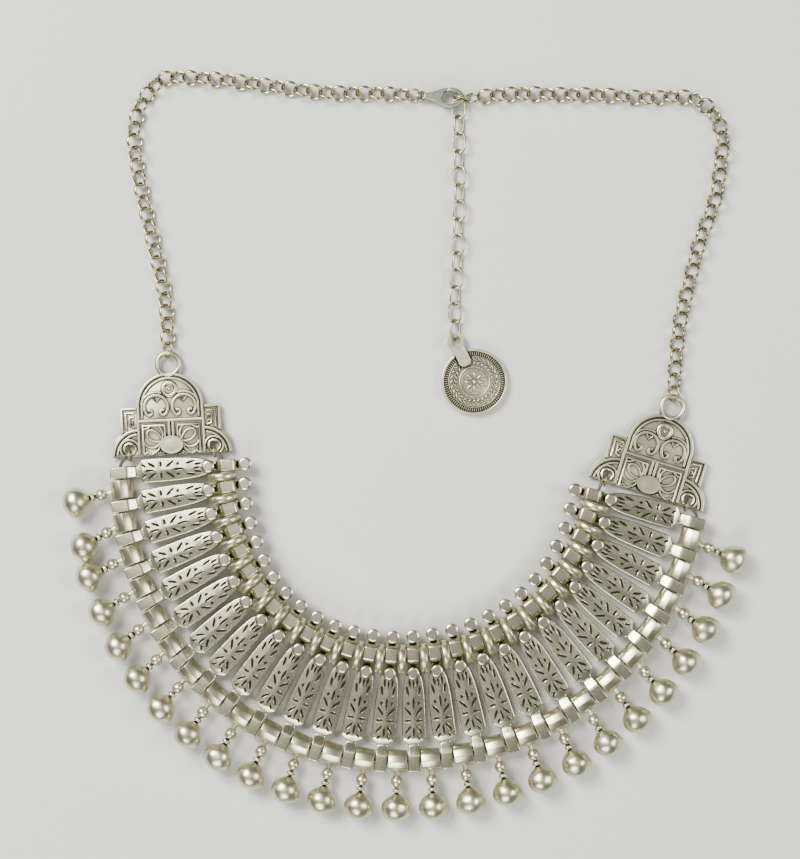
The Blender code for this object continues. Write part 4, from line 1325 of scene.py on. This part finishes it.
def plate_master():
    """One end plate: slab with sunk field, ribs, lines, rings, boss, dots and top ring."""
    look = bpy.context.scene.necklace_plate
    field = look.field
    slab = traced_slab(plate_outline(), 0.0, field)
    for side in (-1.0, 1.0):
        hole = drum((side * CORNER_HOLE_X, CORNER_HOLE_Y, 0.0), CORNER_HOLE_RADIUS, 4 * PLATE_THICKNESS, 24)
        fuse(slab, hole, "DIFFERENCE")
    soften(slab, 0.14 * MM, 2)
    lines, notches = plate_lines()
    lift = field + 0.1 * MM
    parts = [slab, wires(plate_ribs(), look.rib, lift, 2, 0.66), wires(lines, look.fine_rib, lift, 2, 0.8)]
    parts.append(wires(notches, 0.8 * look.fine_rib, lift))
    for side in (-1.0, 1.0):
        corner = (side * CORNER_HOLE_X, CORNER_HOLE_Y, field)
        parts.append(hoop(corner, CORNER_HOLE_RADIUS + 0.34 * MM, 0.36 * MM, 28, 8))
        for x, y, radius in ((2.9, -11.5, 0.36), (1.9, -12.0, 0.26), (3.9, -11.9, 0.24), (6.3, -10.9, 0.3)):
            parts.append(dome((side * x * MM, y * MM, field), (radius * MM, radius * MM, 0.3 * MM), 12, 6))
    # The target under the top: a flat ring round a dome
    target = hoop((0.0, 4.3 * MM, field), 1.62 * MM, 0.6 * MM, 40, 10)
    target.scale = (1.0, 1.0, 0.62)
    target.location.z = (1.0 - 0.62) * field
    parts.append(settle(target))
    parts.append(dome((0.0, 4.3 * MM, field), (0.5 * MM, 0.5 * MM, 0.36 * MM), 20, 8))
    # The oval boss: a cushion with a rim
    boss = drum((0.0, 0.0, 0.0), 1.0 * MM, 2 * MM, 40)
    edit(boss, "FACE")
    pick(boss, "faces", lambda face: face.normal.z > 0.9)
    bpy.ops.mesh.inset(thickness=0.14 * MM, depth=-0.12 * MM)
    bpy.ops.mesh.inset(thickness=0.2 * MM, depth=0.08 * MM)
    leave_edit()
    boss.scale = (2.95, 2.3, 0.7)
    boss.location = (0.0, -9.65 * MM, field - 0.02 * MM)
    parts.append(soften(settle(boss), 0.16 * MM, 2))
    parts.append(hoop((0.0, RING_RISE, 0.65 * MM), 2.78 * MM, 0.64 * MM, 44, 12))
    return paint(join(*parts), plate_silver())


class NECKLACE_OT_plates(bpy.types.Operator):
    """Model one end plate with its cast relief and lay a copy at both ends."""
    bl_idname = "necklace.plates"
    bl_label = "End Plates"

    def execute(self, context):
        master = plate_master()
        for side, place in plate_frames().items():
            piece = copy_at(master, f"end_plate_{side}", place)
            complete(piece, piece.name, "plate", f"plate_{side}", angle=40.0)
        discard(master)
        return {"FINISHED"}


class NECKLACE_OT_jump_rings(bpy.types.Operator):
    """Hang a cut jump ring in each corner hole of the plates."""
    bl_idname = "necklace.jump_rings"
    bl_label = "Jump Rings"

    def execute(self, context):
        for (side, string), place in jump_frames().items():
            piece = hoop((0.0, 0.0, 0.0), JUMP_HALF_LENGTH, JUMP_WIRE, 32, 10, (90.0 * DEG, 0.0, 0.0))
            edit(piece)
            bpy.ops.mesh.select_all(action="SELECT")
            bpy.ops.transform.resize(value=(1.0, 1.0, JUMP_HALF_HEIGHT / JUMP_HALF_LENGTH))
            # The cut where the ring was closed
            pick(piece, "verts", lambda vert: vert.co.z < 0.0 and abs(vert.co.x) < 0.05 * MM)
            bpy.ops.transform.resize(value=(1.0, 0.8, 0.96))
            leave_edit()
            piece.matrix_world = place
            name = f"jump_wire_{side}_{string}"
            complete(paint(piece, plated_wire()), name, "chain", f"jump_ring_{side}_{string}", angle=60.0)
        return {"FINISHED"}


# Chains

def link_master(radius, wire, stretch, width):
    """One link in the XY plane, drawn out along X, pinched a little where its wire was closed.

    width is how much wider the wire is across than through.
    """
    piece = hoop((0.0, 0.0, 0.0), radius, wire, 24, 8)
    edit(piece)
    bpy.ops.mesh.select_all(action="SELECT")
    bpy.ops.transform.resize(value=(1.0, 1.0, width))
    for side in (-1.0, 1.0):
        pick(piece, "verts", lambda vert: vert.co.x * side > 0.1 * MM)
        bpy.ops.transform.translate(value=(side * stretch, 0.0, 0.0))
    pick(piece, "verts", lambda vert: vert.co.y > 0.0 and abs(vert.co.x) < 0.15 * radius)
    bpy.ops.transform.resize(value=(1.0, 0.985, 0.86))
    leave_edit()
    return paint(piece, plated_wire())


def lay_links(master, centres, tilts, end_master=None):
    """Copies of a link along a line of centres, each turned about the line by its tilt."""
    links = []
    ends = (0, len(centres) - 1)
    for k, centre in enumerate(centres):
        before = centres[max(k - 1, 0)]
        after = centres[min(k + 1, len(centres) - 1)]
        along = (after - before).normalized()
        across = UP.cross(along).normalized()
        turn = Matrix((along, across, along.cross(across))).transposed().to_4x4()
        place = Matrix.Translation(centre) @ turn @ Matrix.Rotation(tilts[k], 4, "X")
        source = end_master if end_master and k in ends else master
        links.append(copy_at(source, f"link_{k}", place))
    return join(*links)


def round_chain(name, line, node, look, chance):
    """A chain of round links, tilted to one side and the other in turn."""
    count = round(line_length(line) / look.link_pitch) + 1
    centres = spread(line, count)
    tilts = []
    for k in range(count):
        sign = 1.0 if k % 2 else -1.0
        tilts.append(sign * (look.link_tilt - chance.uniform(0.0, LINK_TILT_SLACK / DEG) * DEG))
    # Plain round rings go through the fittings, where a banded link has no room
    for end in (0, -1):
        tilts[end] = math.copysign(END_LINK_TILT, tilts[end])
    master = link_master(look.link_radius, look.link_wire, 0.0, LINK_BAND)
    round_end = link_master(look.link_radius, look.link_wire, 0.0, 1.0)
    piece = lay_links(master, centres, tilts, round_end)
    discard(master, round_end)
    return complete(piece, name, "chain", node, angle=60.0)


def short_of(target, towards, distance):
    """A point at a distance from a target, on the way to another point."""
    return target + (towards - target).normalized() * distance


def clasp_ends():
    """Tip and tail of the clasp in plan, its tip bar in the middle of the clasp ring."""
    along = Vector((math.cos(CLASP_TURN), math.sin(CLASP_TURN), 0.0))
    tip = plan(CLASP_RING_CENTRE) + along * CLASP_WIRE_WIDTH / 2
    return tip, tip - along * CLASP_LENGTH


class NECKLACE_OT_chains(bpy.types.Operator):
    """Lay the links of both neck chains and of the extender."""
    bl_idname = "necklace.chains"
    bl_label = "Chains"

    def execute(self, context):
        look = context.scene.necklace_chain
        chance = random.Random(11)
        rings = {side: place @ Vector((0.0, RING_RISE, 0.0)) for side, place in plate_frames().items()}
        for ring in rings.values():
            ring.z = CHAIN_HEIGHT
        tip, tail = clasp_ends()
        along = (tip - tail).normalized()
        eye = tail + along * CLASP_EYE_RADIUS
        eye.z = CHAIN_HEIGHT
        left = [plan(point, CHAIN_HEIGHT) for point in LEFT_CHAIN_ROUTE]
        left.insert(0, short_of(rings["left"], left[0], THROUGH_PLATE_RING))
        left.append(short_of(eye, left[-1], look.link_radius - 0.05 * MM))
        round_chain("neck_chain_left", smooth_curve(left), "chain_left", look, chance)
        junction = plan(CLASP_RING_CENTRE, CHAIN_HEIGHT)
        right = [plan(point, CHAIN_HEIGHT) for point in RIGHT_CHAIN_ROUTE]
        right.insert(0, short_of(junction, right[0], THROUGH_CLASP_RING))
        right.append(short_of(rings["right"], right[-1], THROUGH_PLATE_RING))
        round_chain("neck_chain_right", smooth_curve(right), "chain_right", look, chance)
        bail = plan(BAIL_CENTRE, EXTENDER_HEIGHT)
        extender = [plan(point, EXTENDER_HEIGHT) for point in EXTENDER_ROUTE]
        extender.insert(0, plan(CLASP_RING_CENTRE, EXTENDER_HEIGHT) + EXTENDER_START)
        extender.append(short_of(bail, extender[-1], THROUGH_BAIL))
        line = smooth_curve(extender)
        count = round(line_length(line) / EXTENDER_PITCH) + 1
        tilts = [chance.uniform(*(EXTENDER_STEEP_TILT if k % 2 else EXTENDER_FLAT_TILT)) * DEG
                 for k in range(count)]
        # Neighbours overlap by both wires and a gap, whatever spacing the whole number of links gives
        spacing = line_length(line) / (count - 1)
        stretch = (spacing + 2 * EXTENDER_WIRE + LINK_GAP) / 2 - EXTENDER_BEND
        master = link_master(EXTENDER_BEND, EXTENDER_WIRE, stretch, 1.0)
        piece = lay_links(master, spread(line, count), tilts)
        discard(master)
        complete(piece, "extender_links", "chain", "extender_chain", angle=60.0)
        return {"FINISHED"}


# Clasp

# The clasp's outline from its tip, as shares of its body's length and half width
CLASP_SECTIONS = [
    # along, half width
    (0.0, 0.0),
    (0.012, 0.3),
    (0.05, 0.56),
    (0.15, 0.88),
    (0.34, 1.0),
    (0.56, 0.82),
    (0.80, 0.43),
    (1.0, 0.24),
]


class NECKLACE_OT_clasp(bpy.types.Operator):
    """Model the lobster clasp with its gate and lever, and the ring that it holds."""
    bl_idname = "necklace.clasp"
    bl_label = "Clasp"

    def execute(self, context):
        body = CLASP_LENGTH - 2 * CLASP_EYE_RADIUS + 0.52 * MM
        upper = bend([(-along * body, half * CLASP_HALF_WIDTH) for along, half in CLASP_SECTIONS], 4)
        outline = upper + [(x, -y) for x, y in reversed(upper[1:])]
        piece = traced_slab(outline, 0.0, CLASP_THICKNESS)
        reach = 0.46 * body / 2
        opening = drum((0.0, 0.0, 0.0), 1.0 * MM, 3 * CLASP_THICKNESS, 32)
        opening.scale = (reach / MM, (CLASP_HALF_WIDTH - CLASP_ARM_WIDTH) / MM, 1.0)
        opening.location = (-CLASP_WIRE_WIDTH - reach, 0.0, CLASP_THICKNESS / 2)
        fuse(piece, settle(opening), "DIFFERENCE")
        # The gate: a slit across one arm, where the lever meets the hook
        slit = block((-4.3 * MM, 2.0 * MM, CLASP_THICKNESS / 2), (0.16 * MM, 2.2 * MM, 3 * CLASP_THICKNESS))
        slit.rotation_euler = (0.0, 0.0, -18.0 * DEG)
        slit.location = (-0.6 * MM, -1.3 * MM, 0.0)
        fuse(piece, settle(slit), "DIFFERENCE")
        weigh(soften(piece, 0.36 * MM, 3, 40.0))
        eye_x = CLASP_EYE_RADIUS - CLASP_LENGTH
        eye = hoop((eye_x, 0.0, CLASP_THICKNESS / 2), 0.98 * MM, 0.36 * MM, 28, 10)
        lever = dome((-7.2 * MM, 1.2 * MM, CLASP_THICKNESS / 2), (0.95 * MM, 0.42 * MM, 0.4 * MM), 16, 8)
        nub = dome((-5.3 * MM, -2.02 * MM, CLASP_THICKNESS / 2), (0.5 * MM, 0.3 * MM, 0.35 * MM), 12, 8)
        join(piece, eye, lever, nub)
        tip, _ = clasp_ends()
        piece.location = tip + Vector((0.0, 0.0, 2 * CLASP_RING_WIRE + CLEARANCE))
        piece.rotation_euler = (0.0, 0.0, CLASP_TURN)
        complete(paint(piece, polished_clasp()), "lobster_clasp", "chain", "clasp", angle=50.0)
        ring = hoop((0.0, 0.0, 0.0), CLASP_RING_RADIUS, CLASP_RING_WIRE, 40, 10, (90.0 * DEG, 0.0, 0.0))
        edit(ring)
        pick(ring, "verts", lambda vert: vert.co.z > 0.0 and abs(vert.co.x) < 0.2 * MM)
        bpy.ops.transform.resize(value=(1.0, 0.85, 0.99))
        leave_edit()
        ring.location = plan(CLASP_RING_CENTRE, CLASP_RING_RADIUS + CLASP_RING_WIRE)
        ring.rotation_euler = (0.0, 0.0, CLASP_RING_TURN)
        complete(paint(ring, plated_wire()), "junction_ring", "chain", "clasp_ring", angle=60.0)
        return {"FINISHED"}


# Coin charm

def ringed(piece, count):
    """Repeat what a piece holds in a full round about the origin."""
    edit(piece)
    bpy.ops.mesh.select_all(action="SELECT")
    bpy.ops.mesh.spin(
        steps=count - 1, dupli=True, angle=math.tau * (count - 1) / count,
        center=(0.0, 0.0, 0.0), axis=(0.0, 0.0, 1.0))
    leave_edit()
    return piece


def coin_relief(look, field):
    """Teeth, wreath and rosette in the coin's field."""
    tooth = soften(block((7.15 * MM, 0.0, field), (1.0 * MM, 0.27 * MM, 0.5 * MM)), 0.07 * MM, 1)
    parts = [ringed(tooth, look.teeth)]
    for radius, wire in ((6.45, 0.13), (3.75, 0.2), (3.2, 0.1)):
        parts.append(hoop((0.0, 0.0, field), radius * MM, wire * MM, 72, 8))
    # Two rows of leaves lean the same way, with a berry between each two pairs
    for place, lean, size in ((5.75, 52.0, 0.78), (4.75, -52.0, 0.72)):
        leaf = dome((0.0, 0.0, 0.0), (size * MM, 0.27 * MM, 0.26 * MM), 12, 6)
        leaf.rotation_euler = (0.0, 0.0, lean * DEG)
        leaf.location = (place * MM, 0.0, field)
        parts.append(ringed(settle(leaf), look.leaves * 2))
    berry = dome((5.25 * MM, 0.62 * MM, field), (0.24 * MM, 0.24 * MM, 0.24 * MM), 10, 6)
    parts.append(ringed(berry, look.leaves))
    petal = dome((1.72 * MM, 0.0, field), (0.95 * MM, 0.38 * MM, 0.26 * MM), 16, 8)
    parts.append(ringed(petal, look.petals))
    bead = dome((2.72 * MM, 0.0, field), (0.2 * MM, 0.2 * MM, 0.18 * MM), 10, 6)
    bead.rotation_euler = (0.0, 0.0, math.pi / look.petals)
    parts.append(ringed(settle(bead), look.petals))
    parts.append(dome((0.0, 0.0, field), (0.62 * MM, 0.62 * MM, 0.34 * MM), 20, 8))
    return parts


def coin_strap():
    """The flat ring and strap soldered on the coin, in the coin's frame."""
    bail = (plan(BAIL_CENTRE) - plan(COIN_CENTRE)).to_2d()
    reach = bail.length - COIN_RADIUS + STRAP_OVERLAP
    low = COIN_RIM_TOP - BAIL_THICKNESS / 2
    half = STRAP_WIDTH / 2
    clip = 0.7 * MM
    outline = [(half, 0.0), (half, -reach + clip), (half - clip, -reach)]
    outline += [(-x, y) for x, y in reversed(outline)]
    piece = traced_slab(outline, low, BAIL_THICKNESS)
    fuse(piece, drum((0.0, 0.0, low + BAIL_THICKNESS / 2), BAIL_OUTER_RADIUS, BAIL_THICKNESS, 40))
    hole = drum((0.0, 0.0, low), BAIL_HOLE_RADIUS, 4 * BAIL_THICKNESS, 32)
    fuse(piece, hole, "DIFFERENCE")
    soften(piece, 0.2 * MM, 2)
    piece.rotation_euler = (0.0, 0.0, math.atan2(bail.y, bail.x) - math.pi / 2)
    piece.location = (bail.x, bail.y, 0.0)
    return settle(piece)


class NECKLACE_OT_coin(bpy.types.Operator):
    """Model the coin charm with a generic rosette, wreath and toothed rim."""
    bl_idname = "necklace.coin"
    bl_label = "Coin Charm"

    def execute(self, context):
        field = COIN_FIELD
        piece = drum((0.0, 0.0, COIN_RIM_TOP / 2), COIN_RADIUS, COIN_RIM_TOP, 96)
        edit(piece, "FACE")
        pick(piece, "faces", lambda face: face.normal.z > 0.9)
        bpy.ops.mesh.inset(thickness=0.62 * MM, depth=0.0)
        bpy.ops.mesh.inset(thickness=0.1 * MM, depth=field - COIN_RIM_TOP)
        leave_edit()
        soften(piece, 0.14 * MM, 2)
        join(piece, *coin_relief(context.scene.necklace_coin, field), coin_strap())
        piece.location = plan(COIN_CENTRE)
        complete(paint(piece, coin_silver()), "coin_pendant", "coin", "coin_charm", angle=40.0)
        return {"FINISHED"}


# Stage

# The soft boxes: name, place and size in metres, and share of the main light's power
LIGHTS = (
    ("key_light", (-0.42, 0.36, 0.62), 0.4, 1.0),
    ("fill_light", (0.55, 0.0, 0.5), 0.35, 0.3),
    ("front_light", (-0.15, -0.58, 0.5), 0.4, 0.35),
    ("ceiling_light", (-0.1, 0.08, 0.95), 0.42, 0.095),
)


def soft_light(name, place, size, power):
    """One square soft box that looks at the middle of the necklace."""
    light = bpy.data.lights.new(name, "AREA")
    light.size = size
    light.energy = power
    piece = bpy.data.objects.new(name, light)
    piece.location = place
    piece.rotation_euler = (-Vector(place)).to_track_quat("-Z", "Y").to_euler()
    bpy.context.scene.collection.objects.link(piece)


class NECKLACE_OT_stage(bpy.types.Operator):
    """Lay the pale floor, set the soft lights and hang the camera over the necklace."""
    bl_idname = "necklace.stage"
    bl_label = "Stage"

    def execute(self, context):
        look = context.scene.necklace_stage
        bpy.ops.mesh.primitive_plane_add(size=6.0, location=(0.0, 0.0, -0.02 * MM))
        floor = settle(bpy.context.active_object)
        floor.name = "floor"
        paint(floor, floor_paint(look.floor))
        world = bpy.data.worlds.new("Soft room")
        world.use_nodes = True
        background = world.node_tree.nodes["Background"]
        background.inputs["Color"].default_value = (0.93, 0.96, 1.0, 1.0)
        background.inputs["Strength"].default_value = look.room
        context.scene.world = world
        for name, place, size, share in LIGHTS:
            soft_light(name, place, size, share * look.key_power)
        camera = bpy.data.cameras.new("camera")
        camera.lens = look.lens
        field = PICTURE_HEIGHT * PIXEL_SIZE
        height = field * look.lens / camera.sensor_width
        seat = bpy.data.objects.new("camera", camera)
        seat.location = plan(PICTURE_MIDDLE, height + TUBE_RADIUS)
        context.scene.collection.objects.link(seat)
        context.scene.camera = seat
        context.scene.view_settings.look = "AgX - Medium High Contrast"
        return {"FINISHED"}


LOOKS = {
    "necklace_bar": NecklaceBarLook,
    "necklace_string": NecklaceStringLook,
    "necklace_plate": NecklacePlateLook,
    "necklace_chain": NecklaceChainLook,
    "necklace_coin": NecklaceCoinLook,
    "necklace_finish": NecklaceFinish,
    "necklace_stage": NecklaceStageLook,
}

OPERATORS = (
    NECKLACE_OT_bars,
    NECKLACE_OT_tubes,
    NECKLACE_OT_rondelles,
    NECKLACE_OT_drops,
    NECKLACE_OT_threads,
    NECKLACE_OT_plates,
    NECKLACE_OT_jump_rings,
    NECKLACE_OT_chains,
    NECKLACE_OT_clasp,
    NECKLACE_OT_coin,
    NECKLACE_OT_stage,
)


class NECKLACE_PT_panel(bpy.types.Panel):
    """Sizes and steps of the necklace."""
    bl_idname = "NECKLACE_PT_panel"
    bl_label = "Bib Necklace"
    bl_space_type = "VIEW_3D"
    bl_region_type = "UI"
    bl_category = "Necklace"

    def draw(self, context):
        for name, group in LOOKS.items():
            column = self.layout.column(align=True)
            for key in group.__annotations__:
                column.prop(getattr(context.scene, name), key)
        for operator in OPERATORS:
            self.layout.operator(operator.bl_idname)


def register():
    for group in LOOKS.values():
        bpy.utils.register_class(group)
    for operator in OPERATORS:
        bpy.utils.register_class(operator)
    bpy.utils.register_class(NECKLACE_PT_panel)
    for name, group in LOOKS.items():
        setattr(bpy.types.Scene, name, bpy.props.PointerProperty(type=group))


def unregister():
    for name in LOOKS:
        delattr(bpy.types.Scene, name)
    bpy.utils.unregister_class(NECKLACE_PT_panel)
    for operator in reversed(OPERATORS):
        bpy.utils.unregister_class(operator)
    for group in reversed(list(LOOKS.values())):
        bpy.utils.unregister_class(group)


def main():
    """Build the necklace step by step."""
    register()
    bpy.ops.necklace.bars()
    bpy.ops.necklace.tubes()
    bpy.ops.necklace.rondelles()
    bpy.ops.necklace.drops()
    bpy.ops.necklace.threads()
    bpy.ops.necklace.plates()
    bpy.ops.necklace.jump_rings()
    bpy.ops.necklace.chains()
    bpy.ops.necklace.clasp()
    bpy.ops.necklace.coin()
    bpy.ops.necklace.stage()


if __name__ == "__main__":
    main()
